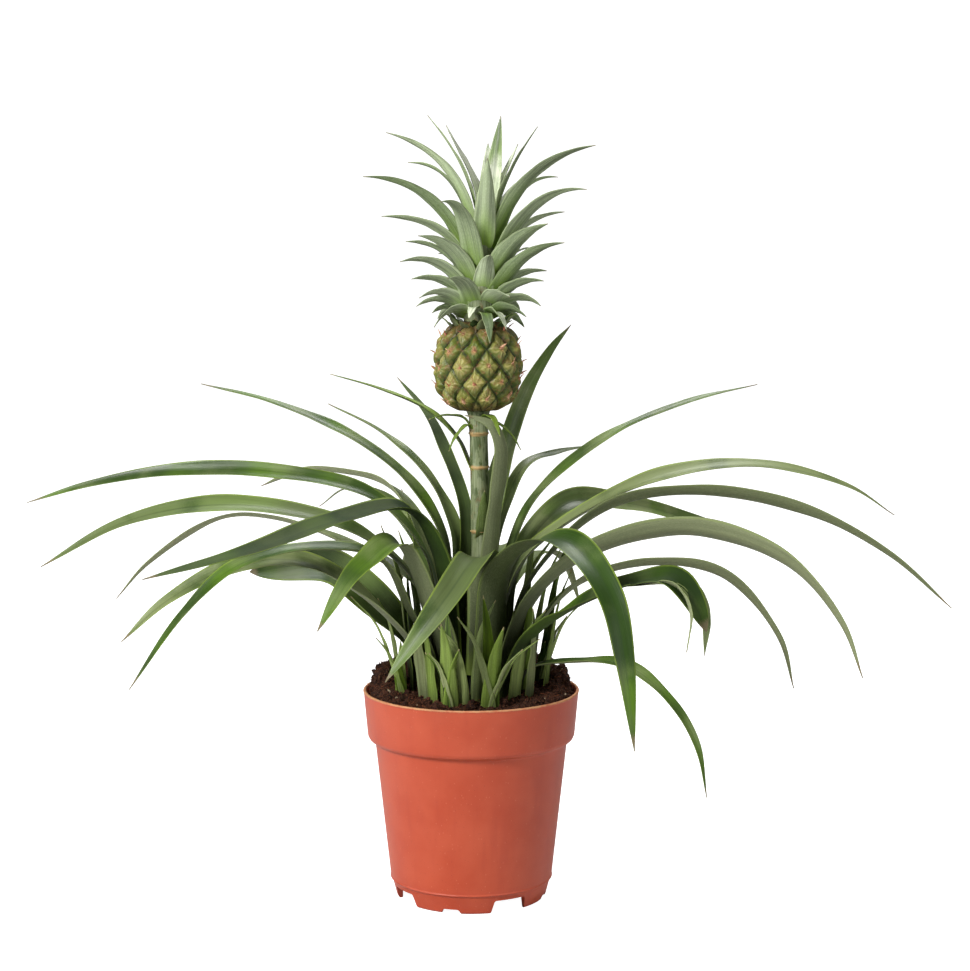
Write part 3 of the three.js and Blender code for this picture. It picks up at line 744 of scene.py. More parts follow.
# %% How far out each leaf clasps the stump
def clasping_radii():
    radii = []
    for k, (facing, width, *_) in enumerate(LEAVES):
        radius = 9.0
        crowded = True
        while crowded:
            crowded = False
            for (other, other_width, *_), inner in zip(LEAVES[:k], radii):
                reach = (width + other_width) * 0.55 + 3
                angle = math.degrees(reach / (radius + inner) * 2)
                apart = abs((facing - other + 540) % 360 - 180)
                if apart < angle and radius < inner + 1.5:
                    crowded = True
            if crowded:
                radius += 0.25
        radii.append(radius)
    return radii


def stump_level(radius):
    share = (STUMP["wide"] - radius) / (STUMP["wide"] - STUMP["top"])
    return blend(STUMP["wide_level"], STUMP["top_level"], min(max(share, 0), 1))


def leaf_path(facing, width, sweep, arch, radius, late=2):
    fold = radius * (1 - math.cos(math.asin(width * 0.55 / radius) / 2))
    root = stump_level(radius - 0.9 - fold)
    reach, rise = arch[0]
    profile = [(radius, root), (blend(radius, reach, 0.2), blend(root, POT["height"] + rise, 0.5))]
    profile += [(r, POT["height"] + h) for r, h in arch]
    turns = facing + sweep * (np.arange(len(profile)) / (len(profile) - 1)) ** late
    reaches = np.array([r for r, _ in profile])[:, None]
    return catmull_rom(axis_at([h for _, h in profile]) + facing_way(turns) * reaches)


radii = clasping_radii()
print("clasping radii from", radii[0], "to", radii[-1])

# %% Grow the rosette
# how much pale bloom of scales each leaf carries, innermost first
BLOOM = [
    0.5, 0.9, 0.0, 0.4, 0.6, 0.45, 0.25, 0.0, 0.75, 0.2, 0.3, 0.1, 0.4, 0.25, 0.9,
    0.3, 1.0, 0.65, 0.9, 0.2, 0.4, 0.4, 0.5, 0.9, 0.4, 0.8, 0.1, 0.1, 0.4, 0.4,
]
# leaves with a habit of their own: one turns aside only near its tip, one has a torn tip, and one
# ends bluntly
TURNS_LATE, TORN, BLUNT = 1, 27, 28
# the two lobes of the torn tip: which side, and how far their ends lie aside and up
LOBES = ((-1, -8.0, 4.0), (1, -7.0, -1.0))


# a leaf whose tip has torn along the middle: a broad trunk that ends in two narrow lobes
def torn(path, width, across, clasp):
    trunk = path[: int(len(path) * 0.84)]
    look = {"fullness": 14.0, "twist": 18, "bloom": 0.05}
    grown = [blade(trunk, width * 1.12, steady(across), clasp=clasp, **look)]
    along = stationed(path, np.array([0.62, 0.78, 0.86, 1.0]))[0]
    for side, aside, up in LOBES:
        parting = np.array([0.16, 0.24, 0.42, 0.5]) * width * side
        points = along + np.outer(parting, across)
        points[-1] += (aside, 0, up)
        look = {"stations": 34, "fullness": 2.4, "twist": 30 * side, "bloom": 0.9}
        grown.append(blade(catmull_rom(points), width * 0.52, steady(across), **look))
    return grown


for k, (facing, width, twist, sweep, arch) in enumerate(LEAVES):
    number = k + 1
    late = 6 if number == TURNS_LATE else 2
    path = leaf_path(facing, width, sweep, arch, radii[k], late)
    if number == TORN:
        # passes over the two random numbers of a whole leaf
        CHANCE.uniform(size=2)
        grown = torn(path, width, across_way(facing + sweep), radii[k])
    else:
        look = {"fullness": 9.0 if number == BLUNT else 3.4, "bloom": BLOOM[k], "twist": twist}
        look["clasp"] = radii[k]
        grown = [blade(path, width, lambda s: across_way(facing + sweep * s**late), **look)]
    name = f"rosette_leaf_{number:02d}"
    finished(name, skinned(name, grown, LEAF), "leaf", f"leaf_{number:02d}")

# %% [markdown]
# ## Stump, stalk and the small leaves on it
#
# The fruit stands on a stout stalk as thick as a finger. It is pale grey-green, mottled, and
# ringed by tan scars where small leaves grew. A tube along a curve with a radius at each point
# gives the form, and a little noise keeps it from looking turned on a lathe.

# %% Tree: a tube with a changing radius
g = geometry_graph("Stalk Tube")
spine, sides, unevenness, material = g.takes_all(
    ("Spine", "Geometry"),
    ("Sides", "Int", 40),
    ("Unevenness", "Float", 0.3 * MM),
    ("Material", "Material"),
)
tube = swept(g, spine, sides)
turn = named(g, "turn")
middle = named(g, "middle", "FLOAT_VECTOR")
way = g.vector(g.cos(turn), g.sin(turn), 0.0)
lumps = g.noise(middle * 60.0 + way * 1.3, 1.0, 2.0) - 0.5
spot = middle + way * (named(g, "girth") + lumps * unevenness * 2.0)
tube = g.node("GeometryNodeSetPosition", tube, at={"Position": spot})
STALK_TUBE = g.ends("Tube", tube, material)

# %% Material: stalk
stalk_skin, g, skin = new_material("stalk skin")
spot = g.spot()
x, y, z = g.split(spot)
around = g.compute("ARCTAN2", y, x - LEAN["stalk"])
lengthwise = streaks(g, g.vector(around * 6.0, z, 0.0), 0.6, 20.0)
patches = g.noise(spot * (1.0, 1.0, 0.45), 0.22, 4.0, 0.65)
green = g.mix(colour(118, 128, 88), colour(72, 86, 42), g.step(patches, 0.44, 0.58))
brown = g.step(g.noise(spot, 0.11, 4.0, 0.7), 0.55, 0.68)
# a scar goes round the stalk at every node
scar = None
wobble = g.noise(spot, 0.25, 2.0) * 3.0 - 1.5
for level in STALK["nodes"]:
    ring = g.step(abs(z + wobble - level), 1.6, 0.4)
    scar = ring if scar is None else g.most(scar, ring)
green = g.layers(
    green,
    ((170, 178, 146), g.step(lengthwise, 0.2, 1.0) * 0.35),
    ((122, 96, 60), brown * 0.7),
    ((186, 150, 96), scar * 0.8),
    # painted shade: near black low down, where the stump stands inside the clasping leaves
    ((30, 30, 14), g.step(z, 172.0, 150.0)),
)
relief = lengthwise * 0.4 + patches + scar * 0.6
g.surface(skin, green, 0.5 + patches * 0.25, relief, strength=0.5, depth=0.4)

# %% Grow the stump and stalk
stem_profile = [
    (STUMP["bottom"], 9.0),
    (blend(STUMP["bottom"], STUMP["wide_level"], 0.7), STUMP["wide"] * 0.7),
    (STUMP["wide_level"], STUMP["wide"] - 3.5),
    (STUMP["wide_level"] + 14, STUMP["wide"] - 9.5),
    (STUMP["top_level"], STUMP["top"]),
    (STUMP["top_level"] + 18, STALK["radius"]),
]
# the swelling at a node, as height above it and radius
SWELLING = [(-2.5, 5.0), (-0.6, 5.2), (0, 5.85), (0.8, 5.3), (3.0, 5.3)]
for node in STALK["nodes"]:
    stem_profile += [(node + above, radius) for above, radius in SWELLING]
stem_profile += [(STALK["top"] - 4, STALK["radius"]), (STALK["top"] - 0.35, 6.8)]
levels = np.unique(np.r_[np.linspace(64, 275.65, 150), [level for level, _ in stem_profile]])
girth = np.interp(levels, *zip(*stem_profile))


def stalk_at(level):
    middle = axis_at(level)
    bow = STALK["bow"] * smooth_step(level, 145, 195) * np.clip((STALK["top"] - level) / 76, 0, 1)
    middle[..., 0] += bow
    return middle


# a stalk-skinned tube round a line of points
def tube_mesh(name, middle, girth):
    chain = mesh_of(name, middle, edges=[(k, k + 1) for k in range(len(middle) - 1)])
    put_attribute(chain, "middle", middle * MM, "FLOAT_VECTOR")
    put_attribute(chain, "girth", girth * MM)
    return grow(name, chain, STALK_TUBE, material=stalk_skin)


finished("fruit_stalk", tube_mesh("stem_tube", stalk_at(levels), girth), "stem", "stem")

# %% Grow the small leaves on the stalk
# facing, width, level, and the arch as (reach from the stalk's middle, height above the root)
BRACTS = [
    (170, 9, 244, [(11, 14), (29, 31), (57, 43), (85, 51)]),
    (285, 8, 206, [(7, 9), (8, 18), (9, 26)]),
    (190, 5, 267, [(9, 5), (22, 6), (28, 4)]),
    (215, 4, 265, [(7, 3), (16, -4), (20, -11)]),
    (350, 5, 266, [(9, 3), (18, -3), (24, -12)]),
    (300, 5, 269, [(8, 4), (17, 3), (24, -6)]),
    (75, 5, 266, [(9, 5), (20, 5), (27, -2)]),
]
bracts = []
for facing, width, level, arch in BRACTS:
    profile = [(2, -2), (STALK["radius"] - 1, 0), *arch]
    reach = np.array([r for r, _ in profile])[:, None]
    path = stalk_at(level) + facing_way(facing) * reach
    path[:, 2] += [h for _, h in profile]
    look = {"bloom": 0.1, "stations": 36, "base": 1.0, "thick": (1.0, 0.5), "wave": 0.15}
    bracts.append(blade(catmull_rom(path), width, steady(across_way(facing)), **look))
finished("stalk_leaves", skinned("stalk_leaves", bracts, SHOOT_LEAF, sides=16), "stem")

# %% [markdown]
# ## Side shoots
#
# Young plants come up out of the peat round the foot of the big one. Each is a bunch of short
# blades whose roots reach down into the peat, made with the same tree as the large leaves.

# %% Level of the peat
SOIL = {"edge": 118.0, "mound": 1.5, "back": 4.5, "lump": 2.4}


def soil_level(x, y):
    out = np.hypot(x, y) / POT["rim"]
    clods = np.sin(x * 0.37 + 1.2) * np.cos(y * 0.33 - 0.4) * 0.6
    clods = clods + np.sin(x * 0.81 - y * 0.62 + 2.1) * 0.4
    heap = SOIL["mound"] * (1 - out * out) + SOIL["back"] * y / POT["rim"]
    return SOIL["edge"] + heap + SOIL["lump"] * clods


print("peat in the middle at", round(float(soil_level(0, 0)), 1), "mm")

# %% Grow the shoots
# name: place, and the blades as (facing, reach, rise, width)
SHOOTS = {
    "shoot_front_left": ((-12, -37), [
        (310, 8, 31, 8), (215, 12, 29, 7), (250, 11, 46, 11), (185, 12, 28, 6), (100, 5, 50, 8),
    ]),
    "shoot_front_right": ((11, -40), [
        (300, 13, 47, 12), (335, 18, 34, 7), (218, 22, 53, 8), (245, 9, 64, 10), (5, 26, 38, 7),
    ]),
    "shoot_left": ((-39, -14), [
        (205, 14, 33, 8), (190, 27, 56, 7), (95, 3, 30, 7), (250, 9, 24, 8),
    ]),
    "shoot_right": ((40, 6), [
        (330, 15, 40, 8), (345, 25, 50, 7), (45, 24, 84, 7), (280, 9, 26, 9),
    ]),
    "shoot_back": ((4, 39), [
        (60, 14, 32, 8), (120, 16, 38, 9), (10, 10, 24, 8), (176, 12, 28, 8),
    ]),
}
# more young blades that fill the bunch: x, y, facing, reach, rise, width
FILLERS = {
    "shoot_left": [
        (-34, 8, 170, 14, 80, 11), (-28, 16, 150, 12, 92, 11), (-22, 24, 160, 24, 98, 11),
        (-40, 0, 185, 12, 58, 10), (-33, -2, 170, 5, 70, 12), (-27, -23, 215, 10, 50, 12),
    ],
    "shoot_right": [
        (34, 12, 15, 16, 80, 11), (28, 20, 30, 16, 92, 11), (22, 26, 25, 22, 98, 11),
        (42, -4, 350, 12, 56, 9), (30, -8, 340, 8, 66, 12), (33, -20, 325, 10, 44, 9),
    ],
    "shoot_front_left": [(-22, -28, 205, 6, 44, 12), (-4, -34, 255, 6, 36, 7)],
    "shoot_front_right": [(3, -33, 280, 5, 52, 7), (25, -24, 318, 8, 56, 11)],
}
# the most that a filling blade leans aside in mm, twists in degrees, and grows or shrinks by
MOST_LEAN, MOST_TWIST, MOST_GROWTH = 15, 28, 0.16
up = np.array([0, 0.35, 0.72, 1])
out = np.array([0, 0.2, 0.5, 1])
for name, ((x, y), shoot_blades) in SHOOTS.items():
    grown = []
    rooted = [(x, y, *values) for values in shoot_blades] + FILLERS.get(name, [])
    for number, (x, y, facing, reach, rise, width) in enumerate(rooted):
        lean, twist = 0.0, 0.0
        if number >= len(shoot_blades):
            lean = MOST_LEAN * math.sin(2.4 * number + x)
            twist = MOST_TWIST * math.sin(3.1 * number)
            rise *= 1 + MOST_GROWTH * math.sin(1.7 * number + y)
        way, across = facing_way(facing), across_way(facing)
        path = np.array([x, y, float(soil_level(x, y)) + 1.5]) + way * (1 + reach * out)[:, None]
        path[:, 2] += rise * up
        path += np.outer(lean * out**1.6, across)
        # a root that reaches down into the peat, so that the blade is seen to grow out of it
        path = np.vstack([path[0] - [way[0] * 0.6, way[1] * 0.6, 9], path])
        look = {"stations": 34, "clasp": max(width * 0.62, 4.2), "base": 0.75, "fullness": 2.2}
        look |= {"thick": (1.1, 0.6), "wave": 0.25, "bloom": (0.15 + 0.618 * number) % 1.0}
        grown.append(blade(catmull_rom(path), width, steady(across), twist=twist, **look))
    finished("young_" + name, skinned(name, grown, SHOOT_LEAF, sides=16), "shoot", name)

# %% [markdown]
# ## Pot
#
# A nursery pot is injection moulded: thin walls, a stiff collar under the rim for stacking, and a
# ring of feet with notches and drain holes so that water runs out. Turning a profile gives every
# round form at once. The sharp corners of the profile are rounded first, as a mould needs, and the
# notches and holes are then cut out with a boolean.


# %% Rounded outlines and turned forms
def rounded(points, radius, steps=4):
    result = [points[0]]
    for before, corner, after in zip(points, points[1:], points[2:]):
        before, corner, after = (np.array(p, float) for p in (before, corner, after))
        into, onward = before - corner, after - corner
        size = min(radius, np.linalg.norm(into) * 0.45, np.linalg.norm(onward) * 0.45)
        start = corner + into / np.linalg.norm(into) * size
        stop = corner + onward / np.linalg.norm(onward) * size
        for t in np.linspace(0, 1, steps + 1):
            result.append(start * (1 - t) ** 2 + corner * 2 * t * (1 - t) + stop * t * t)
    return [*result, points[-1]]


# rings of (radius, height) about Z
def rings_about_axis(rings, angle):
    return [(r * math.cos(a), r * math.sin(a), level) for r, level in rings for a in angle]


# a skin over rings of points, closed by one point before the first ring and one after the last
def closed_rings(name, points, sides):
    faces = []
    last = len(points) - 1
    for k in range(sides):
        follow = (k + 1) % sides
        faces.append((0, 1 + follow, 1 + k))
        faces.append((last, last - sides + k, last - sides + follow))
        for ring in range((last - 1) // sides - 1):
            a, b = 1 + ring * sides + k, 1 + ring * sides + follow
            faces.append((a, b, b + sides, a + sides))
    return mesh_of(name, points, faces)


def angles(sides):
    return np.arange(sides) / sides * 2 * math.pi


print("outline helpers ready")

# %% Material: terracotta-coloured plastic
plastic, g, skin = new_material("terracotta plastic")
spot = g.spot()
x, y, z = g.split(spot)
cloud = g.noise(spot, 0.035, 3.0, 0.55)
flow = g.noise(spot * (1.0, 1.0, 0.12), 0.12, 3.0, 0.6)
red = g.mix(colour(182, 70, 40), colour(192, 82, 52), g.step(cloud, 0.3, 0.7))
red = g.mix(red, colour(170, 62, 40), g.step(flow, 0.5, 0.75) * 0.3)
grain = g.noise(spot, 1.4, 2.0, 0.6)
scuffs = speckle(g, spot * (1.0, 1.0, 0.6), 2.4, 0.20)
specks = speckle(g, spot + (40.0, 0.0, 0.0), 1.5, 0.18)
red = g.mix(red, colour(216, 132, 100), scuffs * 0.35)
red = g.mix(red, colour(92, 42, 30), specks * 0.55)
# soil dust on the rim and splashed a little way down the collar
dusty = 0.4 + 0.6 * g.step(g.noise(spot, 0.3, 3.0), 0.3, 0.6)
rim_dust = g.step(z + grain * 1.6, 118.0, 119.0) * dusty
splash = g.step(z, 84.0, 118.0) * g.step(g.noise(spot, 0.9, 4.0, 0.7), 0.60, 0.72)
red = g.mix(red, colour(206, 160, 112), rim_dust * 0.8)
red = g.mix(red, colour(150, 88, 62), splash * 0.4)
rough = 0.36 + cloud * 0.14 + scuffs * 0.2 + rim_dust * 0.3
g.surface(skin, red, rough, grain * 0.25 + flow * 0.5 + scuffs * 0.3, strength=0.3, depth=0.2)

# %% Turn the pot
band_foot = POT["height"] - POT["band"]
body_top = POT["rim"] - POT["band_taper"] - POT["band_step"]
foot, base, wall = POT["foot"], POT["base"], POT["wall"]
floor_level = POT["foot_height"]
# radius and height, from the middle of the floor round the foot and up to the rim, then down inside
outline = [
    (0, floor_level),
    (foot - wall - 0.8, floor_level),
    (foot - wall - 1.2, 0),
    (foot - 0.8, 0),
    (foot, 1),
    (base - 0.7, floor_level + 0.4),
    (base, floor_level + 1),
    (base + 0.55, floor_level + 1.6),
    (base + 0.15, floor_level + 2.4),
    (body_top, band_foot - 1.2),
    (body_top + 1, band_foot),
    (POT["rim"] - POT["band_taper"] - 0.9, band_foot + 1),
    (POT["rim"] - POT["band_taper"], band_foot + 2.8),
    (POT["rim"] - 0.4, POT["height"] - 1.4),
    (POT["rim"], POT["height"] - 0.6),
    (POT["rim"] - 0.5, POT["height"]),
    (POT["rim"] - wall - 0.2, POT["height"]),
    (POT["rim"] - POT["band_taper"] - wall, band_foot + 3.4),
    (body_top - wall, band_foot - 0.6),
    (base - wall, floor_level + wall + 1.4),
    (base - wall - 1.2, floor_level + wall),
    (0, floor_level + wall),
]
SIDES = 192
outline = rounded(outline, 0.7, 3)
ends = [[(0, 0, outline[k][1])] for k in (0, -1)]
points = ends[0] + rings_about_axis(outline[1:-1], angles(SIDES)) + ends[1]
pot = bpy.data.objects.new("pot", closed_rings("pot", points, SIDES))
bpy.context.collection.objects.link(pot)
print("pot turned from", len(outline), "rings")

# %% Cut the notches and the drain holes
NOTCHES, FIRST_NOTCH = 8, 30
# width and depth of a deep notch and of a shallow one, by turns round the foot
DEEP, SHALLOW = (19, 7.6), (9, 2.6)
NOTCH_REACH = (foot - 6.5, foot + 3.5)
HOLE = {"out": 34, "radius": 3.6, "levels": (7, 13), "sides": 24}
corners, cut_faces = [], []


# a prism between two loops of corners; the first loop is read one way and the second the other
def add_prism(near, far, flip=False):
    start, count = len(corners), len(near)
    corners.extend([*near, *far])
    loop = [start + k for k in range(count)]
    other = [k + count for k in loop]
    cut_faces.append(tuple(reversed(loop)) if flip else tuple(loop))
    cut_faces.append(tuple(other) if flip else tuple(reversed(other)))
    for k in range(count):
        a, b = (k, (k + 1) % count) if flip else ((k + 1) % count, k)
        cut_faces.append((loop[a], loop[b], other[b], other[a]))


for k in range(NOTCHES):
    angle = math.radians(FIRST_NOTCH + 360 / NOTCHES * k)
    c, s = math.cos(angle), math.sin(angle)
    width, depth = SHALLOW if k % 2 else DEEP
    half = width / 2
    wedge = rounded([(-half - 1.5, -1), (-half, depth), (half, depth), (half + 1.5, -1)], 1.2, 4)
    add_prism(*([(w * c + d * s, w * s - d * c, h) for w, h in wedge] for d in NOTCH_REACH))
    if k % 2 == 0:
        x, y = HOLE["out"] * s, -HOLE["out"] * c
        around = np.linspace(0, 2 * math.pi, HOLE["sides"], endpoint=False)
        radius = HOLE["radius"]
        hole = [(x + radius * math.cos(t), y + radius * math.sin(t)) for t in around]
        add_prism(*([(*place, level) for place in hole] for level in HOLE["levels"]), flip=True)
cutter = bpy.data.objects.new("cutter", mesh_of("cutter", corners, cut_faces))
bpy.context.collection.objects.link(cutter)
cut = pot.modifiers.new("cut", "BOOLEAN")
cut.operation = "DIFFERENCE"
cut.solver = "EXACT"
cut.object = cutter
pot_mesh = evaluated(pot)
bpy.data.objects.remove(cutter)
pot_mesh.name = "nursery_pot"
pot_mesh.polygons.foreach_set("use_smooth", [True] * len(pot_mesh.polygons))
pot_mesh.set_sharp_from_angle(angle=math.radians(38))
pot_mesh.materials.clear()
pot_mesh.materials.append(plastic)
finished("nursery_pot", pot_mesh, "pot", "pot")

# %% [markdown]
# ## Peat
#
# The potting mix is dark fibrous peat with a few pale bits. Its surface is a low heap. Crumbs,
# fibres and chips lie on it, and because there are thousands of them they are scattered by a tree
# with a fixed seed, each with only a few faces.


# %% Material: peat
def peat_material(name, dark, light, scale):
    material, g, skin = new_material(name, specular=0.25)
    spot = g.spot()
    lumps = g.noise(spot, 0.45 * scale, 5.0, 0.65)
    crumbs = g.noise(spot, 1.7 * scale, 3.0, 0.6)
    brown = g.mix(colour(*dark), colour(*light), g.step(lumps * 0.6 + crumbs * 0.4, 0.38, 0.66))
    brown = g.mix(brown, colour(122, 84, 56), speckle(g, spot, 1.3, 0.5) * 0.5)
    g.surface(skin, brown, 0.82 + crumbs * 0.15, lumps + crumbs, strength=0.9, depth=1.0)
    return material


PEAT = peat_material("peat", (30, 15, 9), (78, 44, 28), 1.0)
CRUMB = peat_material("peat crumb", (36, 19, 12), (98, 58, 38), 1.6)
FIBRE = peat_material("peat fibre", (82, 42, 26), (160, 96, 62), 1.0)
CHIP = peat_material("pale chip", (150, 128, 100), (206, 190, 162), 1.0)

# %% The heap of peat
inner_rim = POT["rim"] - wall - 0.55
SIDES = 160
# the level at which the peat meets the wall of the pot
WALL_LEVEL = 112.0
# mounds of peat that were pushed up at the rim: place, spread and height
MOUNDS = [(-49, 0, 9, 9.5), (-42, 24, 12, 6), (-18, 44, 11, 5), (51, 8, 8, 7), (38, 30, 12, 7)]


def heap_level(x, y):
    r = np.hypot(x, y)
    angle = np.arctan2(y, x)
    edge = smooth_step(r, 34, 50) * (1 - smooth_step(r, 52, 58.5))
    sides_heap = np.clip(np.cos(angle) ** 2 * 1.2 + np.clip(np.sin(angle), 0, 1) * 0.8 - 0.2, 0, 1)
    level = soil_level(x, y) + edge * sides_heap * 4.0
    for at_x, at_y, spread, height in MOUNDS:
        apart = ((x - at_x) ** 2 + (y - at_y) ** 2) / spread**2
        level = level + height * np.exp(-apart)
    drop = smooth_step(r, 54.5, 58.9)
    return level * (1 - drop) + WALL_LEVEL * drop


angle = angles(SIDES)
rings = [
    (base - wall - 2.0, floor_level + wall + 0.35),
    (base - wall - 0.4, floor_level + wall + 2.0),
    (body_top - wall - 0.45, band_foot - 0.8),
    (POT["rim"] - POT["band_taper"] - wall - 0.6, band_foot + 3.8),
    (inner_rim - 0.7, 110.5),
]
heap_points = [(0, 0, rings[0][1]), *rings_about_axis(rings, angle)]
for radius in (inner_rim - 0.6) * np.linspace(1, 0.02, 64):
    x, y = radius * np.cos(angle), radius * np.sin(angle)
    heap_points += list(zip(x, y, heap_level(x, y)))
heap_points.append((0, 0, float(heap_level(0, 0))))
heap_mesh = closed_rings("peat", heap_points, SIDES)
print("heap with", len(heap_points), "points")

# %% Tree: uneven ground
g = geometry_graph("Uneven Ground")
ground = g.takes("Ground", "Geometry")
rise = g.takes("Rise", "Float", 2.4 * MM)
material = g.takes("Material", "Material")
spot = g.node("GeometryNodeInputPosition") * 1000.0
x, y, z = g.split(spot)
lumps = g.noise(spot, 0.22, 4.0, 0.6) - 0.5
grit = g.noise(spot, 0.9, 3.0, 0.6) - 0.5
only_top = g.step(z, WALL_LEVEL, WALL_LEVEL + 4.0)
offset = (lumps * rise + grit * rise * 0.7) * only_top
ground = g.node("GeometryNodeSetPosition", ground, at={"Offset": g.vector(0.0, 0.0, offset)})
UNEVEN_GROUND = g.ends("Ground", ground, material)
peat_mesh = grow("peat", heap_mesh, UNEVEN_GROUND, material=PEAT)
finished("peat", peat_mesh, "soil", "soil")

# %% Tree: scattered crumbs
def random_value(g, seed, low=None, high=None, kind="FLOAT"):
    value = g.node("FunctionNodeRandomValue", at={"Seed": seed}, data_type=kind)
    for name, limit in (("Min", low), ("Max", high)):
        if limit is not None:
            value.socket.node.inputs[name].default_value = limit
    return value


g = geometry_graph("Scattered Crumbs")
ground, density, small, large, flat, seed, material = g.takes_all(
    ("Ground", "Geometry"),
    ("Density", "Float", 1.0),
    ("Smallest", "Float", 0.4 * MM),
    ("Largest", "Float", 1.6 * MM),
    ("Flatness", "Float", 0.6),
    ("Seed", "Int", 1),
    ("Material", "Material"),
)
at = {"Density": density, "Seed": seed}
points = g.node("GeometryNodeDistributePointsOnFaces", ground, at=at, distribute_method="RANDOM")
shape = g.node("GeometryNodeMeshIcoSphere", at={"Radius": 1.0, "Subdivisions": 1})
spot = g.node("GeometryNodeInputPosition")
crooked = g.noise(spot * 1.3, 1.0, 1.0) - 0.5
shape = g.node("GeometryNodeSetPosition", shape, at={"Offset": spot * crooked * 1.2})
turns = random_value(g, seed + 5, high=(6.28, 6.28, 6.28), kind="FLOAT_VECTOR")
span = small + (large - small) * random_value(g, seed + 9) ** 2.2
scale = g.vector(span, span * (0.6 + 0.5 * random_value(g, seed + 11)), span * flat)
at = {"Instance": shape, "Rotation": turns, "Scale": scale}
crumbs = g.node("GeometryNodeInstanceOnPoints", points, at=at)
SCATTERED_CRUMBS = g.ends("Crumbs", crumbs, material, smooth=False)

# %% Scatter crumbs and chips
# the part of the peat's surface that is kept for scattering on
def open_ground(lowest, inner):
    points = np.zeros(len(peat_mesh.vertices) * 3)
    peat_mesh.vertices.foreach_get("co", points)
    points = points.reshape(-1, 3) * 1000
    faces = []
    for face in peat_mesh.polygons:
        x, y, z = points[list(face.vertices)].mean(0)
        if z > lowest and inner < math.hypot(x, y) < 58.6:
            faces.append(tuple(face.vertices))
    return mesh_of("open ground", points, faces)


ON_TOP, AT_RIM = (113.5, 20), (113.0, 48)
# name, where, how many on a square metre, smallest and largest in mm, flatness, seed, material
SCATTERED = [
    ("peat_crumbs", ON_TOP, 0.42e6, 0.35, 1.5, 0.7, 3, CRUMB),
    ("peat_clods", ON_TOP, 0.035e6, 1.4, 3.6, 0.75, 4, PEAT),
    ("pale_chips", AT_RIM, 0.012e6, 0.5, 1.9, 0.55, 8, CHIP),
]
for name, where, density, small, large, flat, seed, material in SCATTERED:
    values = {"density": density, "smallest": small * MM, "largest": large * MM}
    values |= {"flatness": flat, "seed": seed, "material": material}
    finished(name, grow(name, open_ground(*where), SCATTERED_CRUMBS, **values), "soil")

# %% Tree: loose fibres
g = geometry_graph("Loose Fibres")
ground, density, length, girth, seed, material = g.takes_all(
    ("Ground", "Geometry"),
    ("Density", "Float", 1.0),
    ("Length", "Float", 6 * MM),
    ("Girth", "Float", 0.14 * MM),
    ("Seed", "Int", 2),
    ("Material", "Material"),
)
at = {"Density": density, "Seed": seed}
points = g.node("GeometryNodeDistributePointsOnFaces", ground, at=at)
at = {"Start": (-0.5, 0.0, 0.0), "End": (0.5, 0.0, 0.0)}
strand = g.node("GeometryNodeCurvePrimitiveLine", at=at)
strand = g.node("GeometryNodeResampleCurve", strand, at={"Count": 6})
turns = random_value(g, seed + 1, (-0.5, -0.6, 0.0), (0.5, 0.6, 6.28), "FLOAT_VECTOR")
size = length * (0.35 + random_value(g, seed + 2) * 0.9)
at = {"Instance": strand, "Rotation": turns, "Scale": size}
strands = g.node("GeometryNodeInstanceOnPoints", points, at=at)
strands = g.node("GeometryNodeRealizeInstances", strands)
at = {"Vector": g.node("GeometryNodeInputPosition"), "Scale": 160.0, "Detail": 1.0}
bend = g.node("ShaderNodeTexNoise", at=at, out="Color")
bend = g.node("ShaderNodeVectorMath", bend, (0.5, 0.5, 0.42), operation="SUBTRACT")
strands = g.node("GeometryNodeSetPosition", strands, at={"Offset": bend * (5 * MM)})
rim = g.node("GeometryNodeCurvePrimitiveCircle", 3, at={"Radius": girth})
at = {"Curve": strands, "Profile Curve": rim, "Fill Caps": True}
fibres = g.node("GeometryNodeCurveToMesh", at=at)
LOOSE_FIBRES = g.ends("Fibres", fibres, material, smooth=False)
values = {"density": 0.09e6, "length": 6 * MM, "girth": 0.13 * MM, "seed": 2, "material": FIBRE}
finished("peat_fibres", grow("peat_fibres", open_ground(*ON_TOP), LOOSE_FIBRES, **values), "soil")

# %% [markdown]
# ## Fruit
#
# A pineapple is dozens of berries grown together. They lie on two families of spirals, here nine
# that climb one way and ten the other, so where the spirals cross they outline diamonds. That is a
# rule, so the surface is made by formula in a geometry tree: a cylinder is swelled to a barrel, and
# each point asks how far it is from the nearest furrow and where it lies in its diamond.

# %% Tree: the fruit by its spirals
FRUIT = {"radius": 24.9, "relief": 3.3, "eye_height": 18.4, "left": 9, "right": 10}
# added before a fraction is taken, so that no number is below zero
WHOLE = 40.0


# the outline of the barrel: share of the full radius at a share of the height, 0 to 1
def barrel_swell(share):
    return (1.0 - abs((share * 0.94 + 0.03) * 2.0 - 1.0) ** 2.8) ** (1 / 2.4)


g = geometry_graph("Fruit Eyes")
# a tree has to take a geometry, although the fruit is made without one
g.takes("Nothing", "Geometry")
bottom, top, radius, relief, eye_height, lean, material = g.takes_all(
    ("Bottom", "Float", 0.276),
    ("Top", "Float", 0.325),
    ("Radius", "Float", 0.0248),
    ("Relief", "Float", 0.0024),
    ("Eye Height", "Float", 0.0184),
    ("Lean", "Float", 0.004),
    ("Material", "Material"),
)
at = {"Vertices": 380, "Side Segments": 130, "Radius": 1.0, "Depth": 1.0}
barrel = g.node("GeometryNodeMeshCylinder", at=at, fill_type="NGON")
x, y, z = g.split(g.node("GeometryNodeInputPosition"))
turn = g.compute("ARCTAN2", y, x)
share = z + 0.5
swell = barrel_swell(share) * radius
climb = share * (top - bottom) / eye_height
uneven = g.noise(g.vector(x * 3.1, y * 3.1, z * 2.6), 1.0, 2.0) - 0.5
uneven_too = g.noise(g.vector(x * 3.1 + 9.0, y * 3.1, z * 2.6), 1.0, 2.0) - 0.5
left = turn * (FRUIT["left"] / 2 / math.pi) + climb + uneven * 0.3
